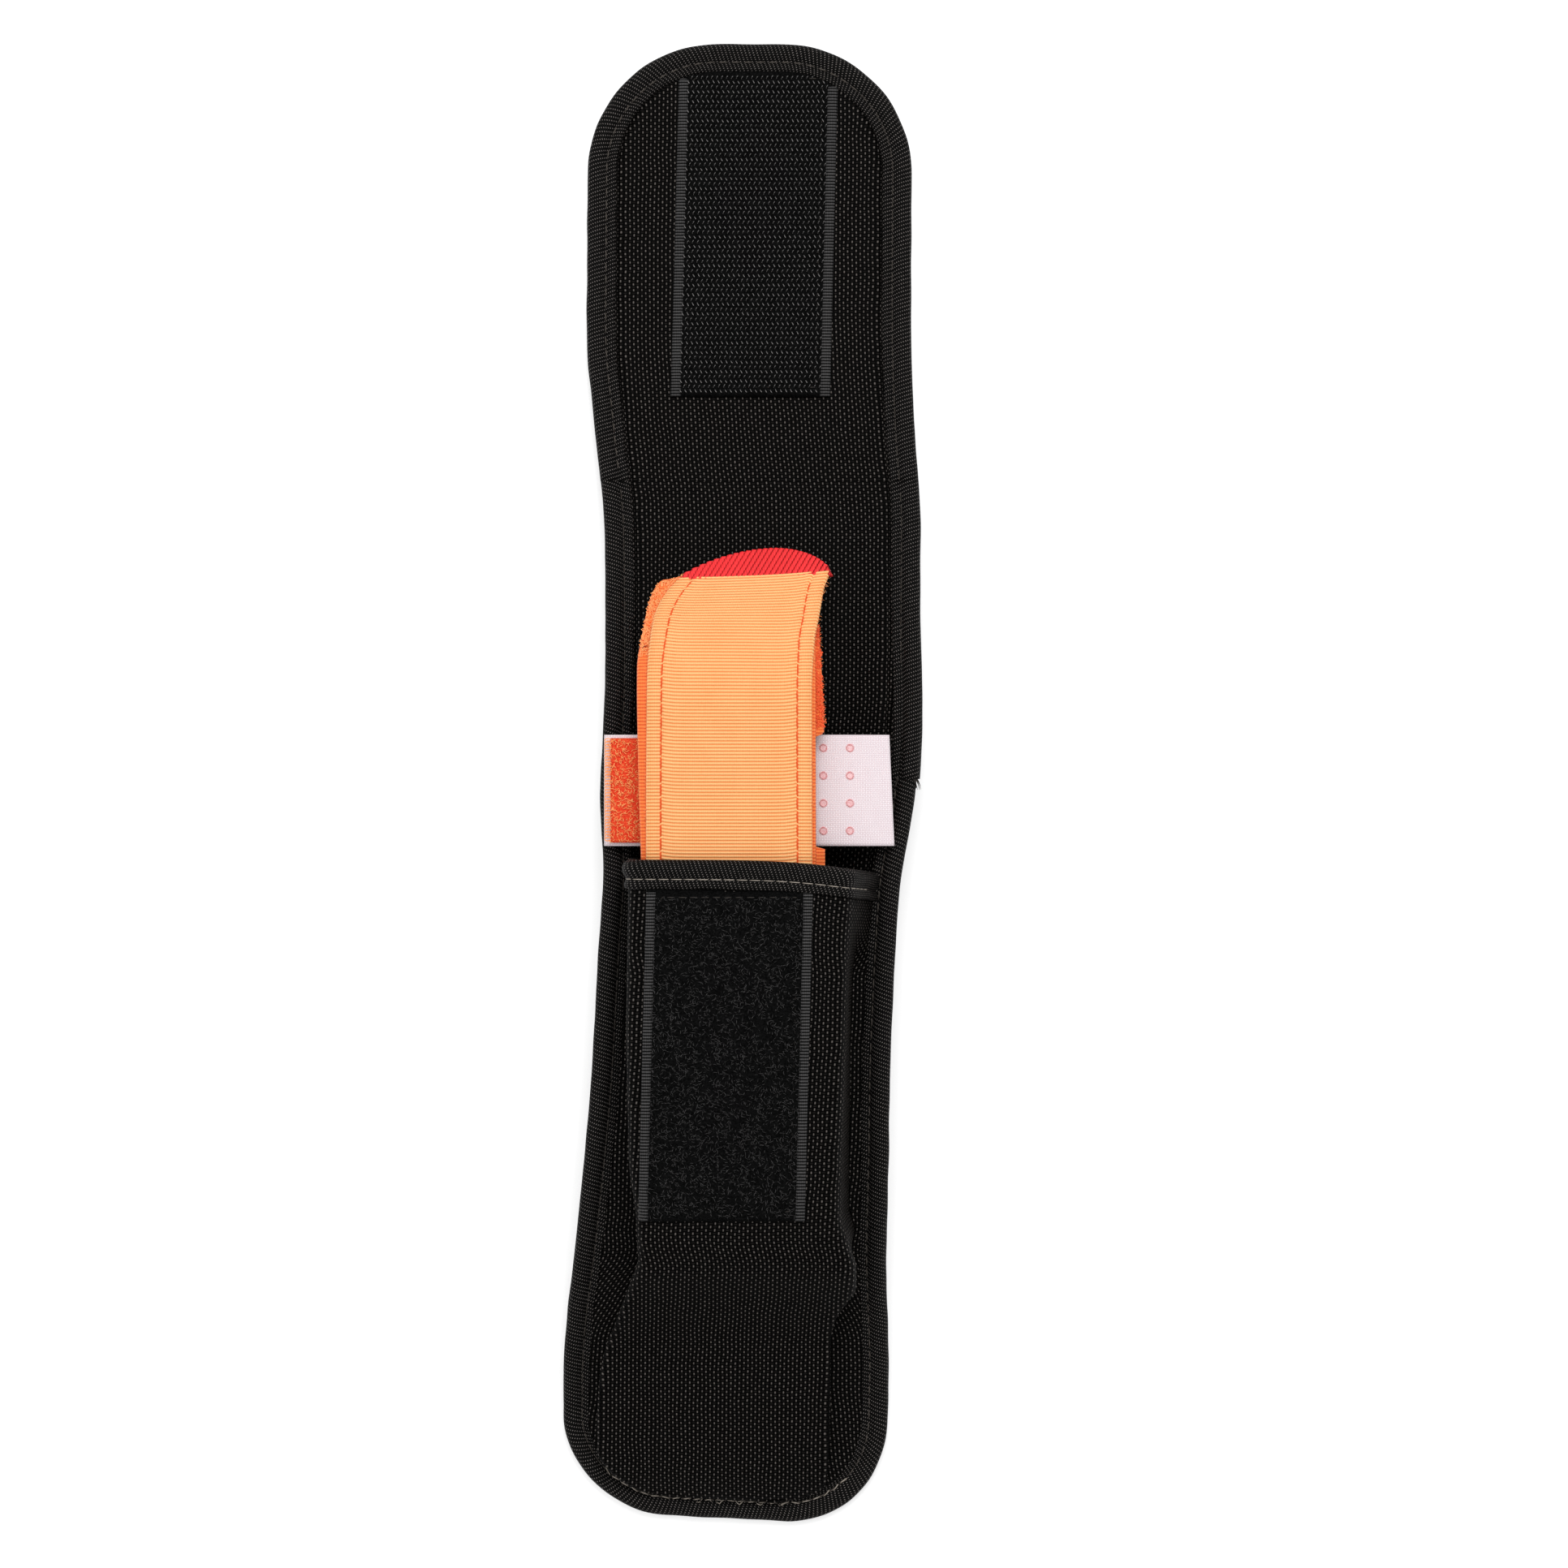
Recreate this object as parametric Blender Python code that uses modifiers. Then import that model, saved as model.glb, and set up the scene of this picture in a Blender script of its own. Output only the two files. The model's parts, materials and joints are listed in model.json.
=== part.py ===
"""A windlass tourniquet folded into its belt pouch, with the pouch's flap laid open.

Frame: +X across the pouch, +Y along it towards the flap's tip, +Z out of the pouch's front.
The origin is the centre of the bounding box at the level the pouch rests on.
Lengths below are in millimetres and are turned into metres where a mesh is made.
"""
import math

import bmesh
import bpy
from mathutils import Matrix, Vector

MM = 0.001
GAP = 0.3                      # clearance kept between neighbouring solids

# ---------------------------------------------------------------- pouch strip
BASE_Y = -177.0                # lower end of the pouch
TIP_Y = 177.0                  # tip of the flap
BASE_RADIUS = 25.0             # corner radius of the lower end
TIP_RADIUS = 31.0              # corner radius of the flap's tip
PANEL_THICK = 1.8
BINDING_WIDTH = 4.5
BINDING_THICK = 3.4
FLAT_SHARE = 0.5               # share of the half width that stays flat between the raised edges
EDGE_POWER = 1.5               # how the edges turn up beyond it
EDGE_NARROWING = 0.3           # how much narrower the binding looks from the front where it turns up
FULL_LIFT = 11.0

# Each list is (Y, value): the strip's centre line, half width, edge lift and height.
CENTRE_X = [(-177, -4.4), (-131, -3.6), (-84, -0.9), (-38, 1.4), (-10, 3.4), (30, 5.0),
            (60, 4.9), (84, 3.0), (108, 1.6), (177, 2.0)]
HALF_WIDTH = [(-177, 38.9), (-143, 38.9), (-107, 36.4), (-60, 34.6), (-27, 34.5), (0, 37.0),
              (40, 37.3), (84, 38.2), (108, 38.9), (177, 38.9)]
EDGE_LIFT = [(-177, 0), (-150, 0.8), (-130, 3.5), (-107, 7.5), (-83, 10.5), (-35, 11), (0, 8),
             (30, 5), (60, 2.5), (85, 1.5), (115, 0.5), (177, 0)]
PANEL_Z = [(-177, 1.9), (-150, 2.9), (-122, 6.6), (-104, 8.0), (30, 8.0), (60, 6.2), (85, 4.6),
           (120, 2.6), (177, 1.9)]

# ---------------------------------------------------------------- flap hinges
FOLD_BACK_Y = 60.5             # the flap's first fold, just above the tourniquet
FOLD_FRONT_Y = 82.5            # its second fold, one bundle thickness further on
FOLD_BACK_Z = 10.8             # both fold axes lie just above the binding
FOLD_FRONT_Z = 8.3
BINDING_JOINT_Y = 2.0          # where the upper binding ends, on the right

# ---------------------------------------------------------------- pocket
POCKET_THICK = 1.5
POCKET_TOP_Y = -25.0
POCKET_FOOT_Y = -172.0
MOUTH_BAND = 6.0               # length of the mouth binding along Y
MOUTH_THICK = 3.2
MOUTH_SLANT = 3.4              # how much lower the mouth is on its right
CORNER = 4.0                   # rounding of the pocket's two long folds
FACE_Z = [(-172, 4.2), (-150, 5.6), (-133, 11), (-121, 24), (-112, 32.2), (-100, 34.6), (-18, 34.8)]
FACE_LEFT = [(-172, -28), (-150, -33), (-133, -31), (-121, -28), (-108, -26.2), (-18, -25.2)]
FACE_RIGHT = [(-172, 17), (-150, 20.5), (-121, 21), (-18, 21.8)]
SIDE_REACH = [(-172, 33.5), (-131, 33), (-107, 31), (-60, 30.0), (-18, 30.2)]
PAD_HALF_WIDTH = 18.6
PAD_THICK = 1.8
PAD_SETBACK = 2.2              # how far the loop pad stops short of the mouth binding
POCKET_PAD_Y = (-100.0, -25.4)
POCKET_PAD_X = (-4.6, -2.9)    # the pad's centre at its lower and upper end
FLAP_PAD_Y = (92.7, 168.8)
FLAP_PAD_X = (2.0, 3.0)

# ---------------------------------------------------------------- belt loop
LOOP_HALF_WIDTH = 20.0
LOOP_THICK = 1.6
LOOP_Y = (-104.0, -14.0)
LOOP_STEP = 15.0               # length of each end over which the loop rises to the panel

# ---------------------------------------------------------------- tourniquet
BAND_HALF_WIDTH = 19.1
BAND_THICK = 1.9
BAND_PITCH = BAND_THICK + GAP
BAND_X = -2.3
FRONT_Z = 31.45                # mid height of the front run
SECOND_Z = FRONT_Z - BAND_PITCH
THIRD_Z = SECOND_Z - BAND_PITCH
SECOND_SHIFT = -1.4            # the second run is pushed left, the third right
THIRD_SHIFT = 3.0
BUNDLE_FOOT_Y = -103.0
BUNDLE_HEAD_Y = 46.5
PEEL_Y = -16.0                 # the free end bends here when it is peeled off
PEEL_Z = 33.0
BAND_END_Y = 48.2
TIP_LENGTH = 6.7
TIP_X = 5.0
TIP_HALF_WIDTH = 17.2
PLATE_Y = (-79.0, 16.0)
PLATE_Z = (23.2, 25.7)
PLATE_HALF_WIDTH = 18.0
PLATE_ROUND = 0.8
STRAP_WIDTH = 26.0
STRAP_THICK = 1.2
STRAP_Y = -2.2
STRAP_Z = 21.0
LEFT_TAB_X = -32.0
RIGHT_TAB_X = 36.1
TAB_DROP = 1.2                 # how far a tab's free end hangs below its root
PATCH_THICK = 0.9
LEFT_AXIS_Z = 23.0             # the tabs bend about their upper faces
RIGHT_AXIS_Z = 21.9
ROD_Y = -28.0
ROD_Z = 14.0
ROD_RADIUS = 4.5
ROD_LENGTH = 118.0
SLOT_LENGTH = 26.0
SLOT_WIDTH = 4.0
CLIP_LENGTH = 24.0
CLIP_GAP = 6.4                 # half of the clip's inner width
CLIP_WALL = 2.0
CLIP_LIP = 1.3                 # how far the lips hook in under the rod
BUCKLE_Y = (-101.5, -81.5)
BUCKLE_HALF_WIDTH = 22.0
BUCKLE_Z = (19.4, 22.4)
BUCKLE_BAR = 3.8
INNER_Z = 22.4
INNER_THICK = 1.0
INNER_HALF_WIDTH = 12.5
INNER_Y = (-72.0, 8.0)

COLOURS = {
    "black_nylon": ((0.012, 0.011, 0.011, 1), 0.8),
    "black_tape": ((0.016, 0.015, 0.015, 1), 0.65),
    "black_pile": ((0.02, 0.02, 0.021, 1), 0.9),
    "black_plastic": ((0.015, 0.015, 0.016, 1), 0.4),
    "orange_webbing": ((0.9, 0.3, 0.05, 1), 0.6),
    "red_webbing": ((0.75, 0.02, 0.04, 1), 0.6),
    "white_webbing": ((0.82, 0.78, 0.82, 1), 0.6),
    "hook_tape": ((0.85, 0.12, 0.04, 1), 0.8),
}


# ------------------------------------------------------------------ mathematics
def through(keys, y):
    """A smooth curve through (y, value) keys that never overshoots them."""
    if y <= keys[0][0]:
        return keys[0][1]
    if y >= keys[-1][0]:
        return keys[-1][1]
    i = max(k for k in range(len(keys) - 1) if keys[k][0] <= y)
    slopes = [(b[1] - a[1]) / (b[0] - a[0]) for a, b in zip(keys, keys[1:])]

    def tangent(k):
        if k == 0 or k == len(keys) - 1:
            return slopes[0] if k == 0 else slopes[-1]
        before, after = slopes[k - 1], slopes[k]
        if before * after <= 0:
            return 0.0
        return 2 * before * after / (before + after)

    span = keys[i + 1][0] - keys[i][0]
    t = (y - keys[i][0]) / span
    return ((2 * t**3 - 3 * t**2 + 1) * keys[i][1] + (t**3 - 2 * t**2 + t) * span * tangent(i)
            + (3 * t**2 - 2 * t**3) * keys[i + 1][1] + (t**3 - t**2) * span * tangent(i + 1))


def spread(low, high, count):
    """count values from low to high, both included."""
    return [low + (high - low) * i / (count - 1) for i in range(count)]


def reach(y, inset=0.0):
    """Half width of the strip at y, inset from its outline, with the corners rounded."""
    half = through(HALF_WIDTH, y) - inset
    for past, radius in ((y - TIP_Y + TIP_RADIUS, TIP_RADIUS), (BASE_Y + BASE_RADIUS - y, BASE_RADIUS)):
        inner = radius - inset
        if past > 0:
            half -= inner - math.sqrt(max(inner**2 - past**2, 0.0))
    return half


def panel_z(x, y):
    """Height of the strip's middle surface."""
    share = abs(x - through(CENTRE_X, y)) / through(HALF_WIDTH, y)
    turn = max(share - FLAT_SHARE, 0.0) / (1 - FLAT_SHARE)
    return through(PANEL_Z, y) + through(EDGE_LIFT, y) * turn**EDGE_POWER


# ------------------------------------------------------------------ mesh making
def material(name):
    colour, roughness = COLOURS[name]
    made = bpy.data.materials.get(name) or bpy.data.materials.new(name)
    made.use_nodes = True
    made.diffuse_color = colour
    shader = made.node_tree.nodes["Principled BSDF"]
    shader.inputs["Base Color"].default_value = colour
    shader.inputs["Roughness"].default_value = roughness
    return made


def make_object(name, mesh, slot, collection):
    mesh.materials.append(material(slot))
    obj = bpy.data.objects.new(name, mesh)
    collection.objects.link(obj)
    return obj


def loft(name, rings, slot, collection):
    """A closed solid through rings of points, with flat ends."""
    bm = bmesh.new()
    rows = [[bm.verts.new(Vector(point) * MM) for point in ring] for ring in rings]
    count = len(rings[0])
    for first, second in zip(rows, rows[1:]):
        for i in range(count):
            j = (i + 1) % count
            bm.faces.new((first[i], first[j], second[j], second[i]))
    bm.faces.new(list(reversed(rows[0])))
    bm.faces.new(rows[-1])
    bmesh.ops.recalc_face_normals(bm, faces=bm.faces)
    mesh = bpy.data.meshes.new(name)
    bm.to_mesh(mesh)
    bm.free()
    return make_object(name, mesh, slot, collection)


def skin(name, rows, thickness, slot, collection):
    """A sheet through rows of points, made solid about its middle."""
    bm = bmesh.new()
    grid = [[bm.verts.new(Vector(point) * MM) for point in row] for row in rows]
    for first, second in zip(grid, grid[1:]):
        for i in range(len(first) - 1):
            bm.faces.new((first[i], first[i + 1], second[i + 1], second[i]))
    bmesh.ops.recalc_face_normals(bm, faces=bm.faces)
    mesh = bpy.data.meshes.new(name)
    bm.to_mesh(mesh)
    bm.free()
    obj = make_object(name, mesh, slot, collection)
    solid = obj.modifiers.new("thickness", "SOLIDIFY")
    solid.thickness = thickness * MM
    solid.offset = 0
    return obj


def ribbon(name, path, edges, thickness, slot, collection):
    """Webbing of even thickness along a (y, z) path; edges(i) gives its left and right X."""
    rings = []
    for i, (y, z) in enumerate(path):
        before = path[max(i - 1, 0)]
        after = path[min(i + 1, len(path) - 1)]
        along = Vector((after[0] - before[0], after[1] - before[1])).normalized()
        across = Vector((-along.y, along.x)) * thickness / 2
        left, right = edges(i)
        rings.append([(left, y - across.x, z - across.y), (right, y - across.x, z - across.y),
                      (right, y + across.x, z + across.y), (left, y + across.x, z + across.y)])
    return loft(name, rings, slot, collection)


def bezier(a, corner, b, count):
    """Points of the soft corner from a to b."""
    return [a * (1 - t)**2 + corner * 2 * t * (1 - t) + b * t**2 for t in spread(0, 1, count)]


def smooth_path(points, per_span=5):
    """A Catmull-Rom curve through hand-set (y, z) points."""
    path = []
    for i in range(len(points) - 1):
        p0 = Vector(points[max(i - 1, 0)])
        p1, p2 = Vector(points[i]), Vector(points[i + 1])
        p3 = Vector(points[min(i + 2, len(points) - 1)])
        for t in spread(0, 1, per_span + 1)[:-1]:
            path.append(tuple(0.5 * (2 * p1 + (p2 - p0) * t + (2 * p0 - 5 * p1 + 4 * p2 - p3) * t**2
                                     + (3 * p1 - p0 - 3 * p2 + p3) * t**3)))
    return path + [tuple(points[-1])]


def fold(centre, radius, start, end, count=7):
    """A (y, z) arc between two angles in degrees."""
    return [(centre[0] + radius * math.cos(math.radians(a)), centre[1] + radius * math.sin(math.radians(a)))
            for a in spread(start, end, count)]


def block(name, low, high, slot, collection):
    """A box between two corners."""
    bm = bmesh.new()
    bmesh.ops.create_cube(bm, size=1.0)
    size = Vector(high) - Vector(low)
    middle = (Vector(high) + Vector(low)) / 2
    bmesh.ops.scale(bm, vec=size * MM, verts=bm.verts)
    bmesh.ops.translate(bm, vec=middle * MM, verts=bm.verts)
    mesh = bpy.data.meshes.new(name)
    bm.to_mesh(mesh)
    bm.free()
    return make_object(name, mesh, slot, collection)


def round_edges(obj, width):
    bevel = obj.modifiers.new("round", "BEVEL")
    bevel.width = width * MM
    bevel.segments = 2
    bevel.limit_method = "ANGLE"


def cut(obj, cutter):
    hole = obj.modifiers.new("cut", "BOOLEAN")
    hole.operation = "DIFFERENCE"
    hole.object = cutter
    cutter.hide_render = True
    cutter.display_type = "WIRE"


# ------------------------------------------------------------------ pouch
def strip_rows(low, high, count, inset):
    """Rows of panel points between two Y values; rows crowd towards a rounded end."""
    rows = []
    for t in spread(0, 1, count):
        if high > TIP_Y - TIP_RADIUS:
            t = math.sin(t * math.pi / 2)
        if low < BASE_Y + BASE_RADIUS:
            t = 1 - math.cos(t * math.pi / 2)
        y = low + (high - low) * t
        half = reach(y, inset)
        centre = through(CENTRE_X, y)
        xs = [centre + half * u for u in spread(-1, 1, 13)]
        rows.append([(x, y, panel_z(x, y)) for x in xs])
    return rows


def make_panels(pouch, bridge, front):
    inset = BINDING_WIDTH + GAP
    skin("back_panel", strip_rows(BASE_Y + inset, FOLD_BACK_Y - GAP / 2, 26, inset), PANEL_THICK,
         "black_nylon", pouch)
    skin("flap_bridge_panel", strip_rows(FOLD_BACK_Y + GAP / 2, FOLD_FRONT_Y - GAP / 2, 4, inset),
         PANEL_THICK, "black_nylon", bridge)
    skin("flap_panel", strip_rows(FOLD_FRONT_Y + GAP / 2, TIP_Y - inset, 15, inset), PANEL_THICK,
         "black_nylon", front)


def side(sign, y):
    """A point on the outline's long side: x, y and the way in."""
    return through(CENTRE_X, y) + sign * reach(y), y, (-sign, 0.0)


def corner(end, sign, angle):
    """A point on an end's rounded corner; angle runs from the side (0) to the end (90)."""
    y_end, radius, up = (TIP_Y, TIP_RADIUS, 1) if end == "tip" else (BASE_Y, BASE_RADIUS, -1)
    out_x = sign * math.cos(math.radians(angle))
    out_y = up * math.sin(math.radians(angle))
    x = through(CENTRE_X, y_end - up * radius) + sign * (through(HALF_WIDTH, y_end) - radius)
    return x + out_x * radius, y_end - up * radius + out_y * radius, (-out_x, -out_y)


def round_end(end):
    """The outline round an end, from its right side to its left."""
    angles = spread(0, 90, 8)
    return [corner(end, 1, a) for a in angles] + [corner(end, -1, a) for a in reversed(angles)]


def binding(name, outline, collection, outward=0.0):
    """Tape folded over the strip's edge, with a rounded section."""
    rings = []
    half = BINDING_THICK / 2
    for i, (x, y, inward) in enumerate(outline):
        before, after = outline[max(i - 1, 0)], outline[min(i + 1, len(outline) - 1)]
        width = BINDING_WIDTH * (1 - EDGE_NARROWING * through(EDGE_LIFT, y) / FULL_LIFT)
        into = Vector((inward[0], inward[1], 0))
        outer = Vector((x, y, 0)) - into * outward
        inner = Vector((x, y, 0)) + into * width
        outer.z = panel_z(x, y)
        inner.z = panel_z(inner.x, inner.y)
        along = Vector((after[0] - before[0], after[1] - before[1], 0)).normalized()
        way = (outer - inner).normalized()
        up = way.cross(along).normalized()
        if up.z < 0:
            up.negate()
        rings.append([inner - up * half, inner + up * half,
                      inner.lerp(outer, 0.7) + up * half, inner.lerp(outer, 0.93) + up * half * 0.7,
                      outer, inner.lerp(outer, 0.93) - up * half * 0.7,
                      inner.lerp(outer, 0.7) - up * half])
    return loft(name, rings, "black_tape", collection)


def make_bindings(pouch, bridge, front):
    low = BASE_Y + BASE_RADIUS
    right = [side(1, y) for y in spread(BINDING_JOINT_Y - GAP, low, 13)]
    left = [side(-1, y) for y in spread(low, FOLD_BACK_Y - GAP / 2, 16)]
    binding("lower_binding", right[:-1] + round_end("base") + left[1:], pouch)
    upper = [side(1, y) for y in spread(BINDING_JOINT_Y, FOLD_BACK_Y - GAP / 2, 6)]
    binding("upper_binding_end", upper, pouch, outward=0.8)
    for sign, name in ((-1, "bridge_binding_left"), (1, "bridge_binding_right")):
        binding(name, [side(sign, y) for y in spread(FOLD_BACK_Y + GAP / 2, FOLD_FRONT_Y - GAP / 2, 3)],
                bridge)
    high = TIP_Y - TIP_RADIUS
    up = [side(1, y) for y in spread(FOLD_FRONT_Y + GAP / 2, high, 5)]
    down = [side(-1, y) for y in spread(high, FOLD_FRONT_Y + GAP / 2, 5)]
    binding("flap_binding", up[:-1] + round_end("tip") + down[1:], front)


def mouth_drop(x):
    """The mouth's edge runs lower towards the right."""
    t = min(max((x + 26) / 56, 0), 1)
    return -MOUTH_SLANT * (0.3 * t + 0.7 * t**3)


def pocket_profile(y, thickness):
    """Points across the pocket's middle surface at y, from its left seam to its right."""
    centre = through(CENTRE_X, y)
    seam = min(through(SIDE_REACH, y), reach(y, BINDING_WIDTH + 2 * GAP)) - thickness / 2
    face = through(FACE_Z, y)
    left, right = max(through(FACE_LEFT, y), centre - seam + 0.3), through(FACE_RIGHT, y)
    right = min(right, centre + seam - 2)
    rise = PANEL_THICK / 2 + GAP + thickness / 2

    def point(x, z):
        return Vector((x, y, max(z, panel_z(x, y) + rise + 0.05)))

    seam_left = point(centre - seam, 0)
    seam_right = point(centre + seam, 0)
    top_left, top_right = point(left, face), point(right, face)
    size = min(CORNER, 0.4 * (face - seam_left.z) + 0.5)
    towards_left = (seam_left - top_left).normalized()
    towards_right = (seam_right - top_right).normalized()
    inward = (top_right - top_left).normalized()
    points = [seam_left, seam_left.lerp(top_left, 0.5)]
    points += bezier(top_left + towards_left * size, top_left, top_left + inward * size, 5)
    points += [top_left.lerp(top_right, t) for t in (0.3, 0.5, 0.7)]
    points += bezier(top_right - inward * size, top_right, top_right + towards_right * size, 5)
    points += [seam_right.lerp(top_right, 0.5), seam_right]
    return [point(p.x, p.z) for p in points]


def make_pocket(pouch):
    rows = []
    ys = spread(POCKET_FOOT_Y, -152, 5) + spread(-148, -106, 13) + spread(-98, POCKET_TOP_Y, 6)
    for y in ys:
        lean = max(0.0, 1 - (POCKET_TOP_Y - y) / 30)
        rows.append([(p.x, p.y + mouth_drop(p.x) * lean, p.z) for p in pocket_profile(y, POCKET_THICK)])
    skin("pocket_shell", rows, POCKET_THICK, "black_nylon", pouch)

    rows = []
    for t in spread(0, 1, 4):
        y = POCKET_TOP_Y + GAP + MOUTH_BAND * t
        rows.append([(p.x, y + mouth_drop(p.x), p.z) for p in pocket_profile(POCKET_TOP_Y, MOUTH_THICK)])
    skin("mouth_binding", rows, MOUTH_THICK, "black_tape", pouch)

    low, high = POCKET_PAD_Y
    rows = []
    for t in spread(0, 1, 8):
        y = low + (high - low) * t - (PAD_SETBACK if t == 1 else 0)
        middle = POCKET_PAD_X[0] + (POCKET_PAD_X[1] - POCKET_PAD_X[0]) * t
        z = through(FACE_Z, y) + POCKET_THICK / 2 + GAP + PAD_THICK / 2
        rows.append([(middle + PAD_HALF_WIDTH * u, y, z) for u in spread(-1, 1, 3)])
    skin("pocket_loop_pad", rows, PAD_THICK, "black_pile", pouch)


def make_flap_pad(front):
    low, high = FLAP_PAD_Y
    rows = []
    for t in spread(0, 1, 8):
        y = low + (high - low) * t
        middle = FLAP_PAD_X[0] + (FLAP_PAD_X[1] - FLAP_PAD_X[0]) * t
        z = through(PANEL_Z, y) + PANEL_THICK / 2 + GAP + PAD_THICK / 2
        rows.append([(middle + PAD_HALF_WIDTH * u, y, z) for u in spread(-1, 1, 3)])
    skin("flap_hook_pad", rows, PAD_THICK, "black_pile", front)


def make_belt_loop(pouch):
    """Webbing behind the pouch, joined to it at both ends; the belt passes between."""
    low, high = LOOP_Y
    top = through(PANEL_Z, -60) - PANEL_THICK / 2 - GAP - LOOP_THICK / 2
    floor = LOOP_THICK / 2
    points = [(low, top), (low + 4, top), (low + LOOP_STEP, floor), (high - LOOP_STEP, floor),
              (high - 4, top), (high, top)]
    path = []
    for a, b in zip(points, points[1:]):
        steps = spread(0, 1, 6)[:-1]
        for t in steps:
            ease = t * t * (3 - 2 * t)
            path.append((a[0] + (b[0] - a[0]) * t, a[1] + (b[1] - a[1]) * ease))
    path.append(points[-1])
    middle = through(CENTRE_X, (low + high) / 2)
    ribbon("belt_loop", path, lambda i: (middle - LOOP_HALF_WIDTH, middle + LOOP_HALF_WIDTH),
           LOOP_THICK, "black_tape", pouch)


# ------------------------------------------------------------------ tourniquet
def lean_back(y, run=0):
    """How far the bundle's upper end leans back; the runs behind the front one lean further."""
    t = max(y - 18.0, 0.0) / 30.0
    return 12.0 * t**1.6 * (1 + 0.07 * run)


def make_band(body):
    """The self-adhering band: out of the buckle, up, down, and up again to where it peels."""
    foot, head = BUNDLE_FOOT_Y, BUNDLE_HEAD_Y
    path = smooth_path([(-88.6, 17.6), (-92.0, 17.6), (-94.6, 18.4), (-95.6, 20.2), (-95.6, 22.6), (-94.4, 25.0),
                        (-91.0, 26.7), (-86.0, THIRD_Z)], 3)
    shifts = [THIRD_SHIFT] * len(path)
    for y in spread(-76.0, 16.0, 4) + spread(20.0, head, 9):
        path.append((y, THIRD_Z - lean_back(y, 2)))
        shifts.append(THIRD_SHIFT)
    centre = (head, (THIRD_Z + SECOND_Z) / 2 - lean_back(head, 1.5))
    turn = (BAND_PITCH + lean_back(head, 2) - lean_back(head, 1)) / 2
    slope = -math.degrees(math.atan2(lean_back(head) - lean_back(head - 1), 1))
    for i, point in enumerate(fold(centre, turn, -90 + slope / 2, 90 + slope / 2)[1:-1]):
        path.append(point)
        shifts.append(THIRD_SHIFT + (SECOND_SHIFT - THIRD_SHIFT) * (i + 1) / 6)
    for y in list(reversed(spread(20.0, head, 9))) + list(reversed(spread(foot, 16.0, 5))):
        path.append((y, SECOND_Z - lean_back(y, 1)))
        shifts.append(SECOND_SHIFT)
    centre = (foot, (SECOND_Z + FRONT_Z) / 2)
    for i, point in enumerate(fold(centre, BAND_PITCH / 2, 270, 90)[1:-1]):
        path.append(point)
        shifts.append(SECOND_SHIFT * (1 - (i + 1) / 6))
    for y in spread(foot, PEEL_Y - GAP, 4):
        path.append((y, FRONT_Z))
        shifts.append(0.0)
    ribbon("band_bundle", path,
           lambda i: (BAND_X + shifts[i] - BAND_HALF_WIDTH, BAND_X + shifts[i] + BAND_HALF_WIDTH),
           BAND_THICK, "orange_webbing", body)


def make_free_end(body):
    """The band's free end with its pull tip; its corner turns in at the upper left."""
    left = [(PEEL_Y, -21.4), (25, -21.4), (37.5, -20.2), (42, -18.8), (45.4, -17.0), (48.2, -13.2)]
    right = [(PEEL_Y, 16.8), (30, 16.7), (37.5, 17.0), (42, 18.9), (45.4, 20.1), (48.2, 20.8)]
    path = [(y, FRONT_Z - lean_back(y)) for y in spread(PEEL_Y + GAP, 18.0, 3) + spread(22.0, BAND_END_Y, 10)]
    ribbon("band_free_end", path, lambda i: (through(left, path[i][0]), through(right, path[i][0])),
           BAND_THICK, "orange_webbing", body)
    path = [(y, FRONT_Z - lean_back(y)) for y in spread(BAND_END_Y + GAP, BAND_END_Y + GAP + TIP_LENGTH, 7)]

    def arc(i):
        t = (path[i][0] - path[0][0]) / (TIP_LENGTH + 0.25)
        span = TIP_HALF_WIDTH * math.sqrt(1 - t * t)
        return TIP_X - span, TIP_X + span * 0.92

    ribbon("band_tip", path, arc, BAND_THICK * 0.8, "red_webbing", body)


def make_plate(body):
    """The stiffener that the windlass pulls against."""
    low, high = PLATE_Y
    plate = block("stabilization_plate", (BAND_X - PLATE_HALF_WIDTH, low, PLATE_Z[0]),
                  (BAND_X + PLATE_HALF_WIDTH, high, PLATE_Z[1]),
                  "black_plastic", body)
    round_edges(plate, PLATE_ROUND)


def make_inner_strap(body):
    """The strap that the windlass winds: flat on the plate, bunched where it passes the rod's slot."""
    low, high = INNER_Y
    bottom = ROD_Z - 1.6
    left_leg, right_leg = ROD_Y - 6.0, ROD_Y + 6.0
    path = [(low, INNER_Z), (left_leg - 14, INNER_Z), (left_leg - 5, INNER_Z), (left_leg - 1, INNER_Z - 1.6)]
    path += [(left_leg + 0.6, ROD_Z + 3.5), (left_leg + 2.4, bottom + 1.2), (ROD_Y, bottom)]
    widths = [INNER_HALF_WIDTH, INNER_HALF_WIDTH, 5.0, 1.5, 1.4, 1.4, 1.4]
    path += [(2 * ROD_Y - y, z) for y, z in reversed(path[1:-1])] + [(high, INNER_Z)]
    widths += list(reversed(widths[:-1]))
    ribbon("inner_strap", path, lambda i: (BAND_X - widths[i], BAND_X + widths[i]), INNER_THICK,
           "orange_webbing", body)


def turned_along_y(name, profile, centre, slot, collection, steps=20):
    """A round piece: (distance along Y, radius) pairs turned about an axis along Y."""
    mesh = bpy.data.meshes.new(name)
    points = [Vector((radius, 0, along)) * MM for along, radius in reversed(profile)]
    mesh.from_pydata(points, [(i, i + 1) for i in range(len(points) - 1)], [])
    obj = make_object(name, mesh, slot, collection)
    screw = obj.modifiers.new("turn", "SCREW")
    screw.axis = "Z"
    screw.steps = steps
    screw.render_steps = steps
    screw.use_merge_vertices = True
    screw.merge_threshold = 0.00001
    screw.use_smooth_shade = True
    obj.rotation_euler = (-math.pi / 2, 0, 0)
    obj.location = Vector(centre) * MM
    return obj


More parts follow.
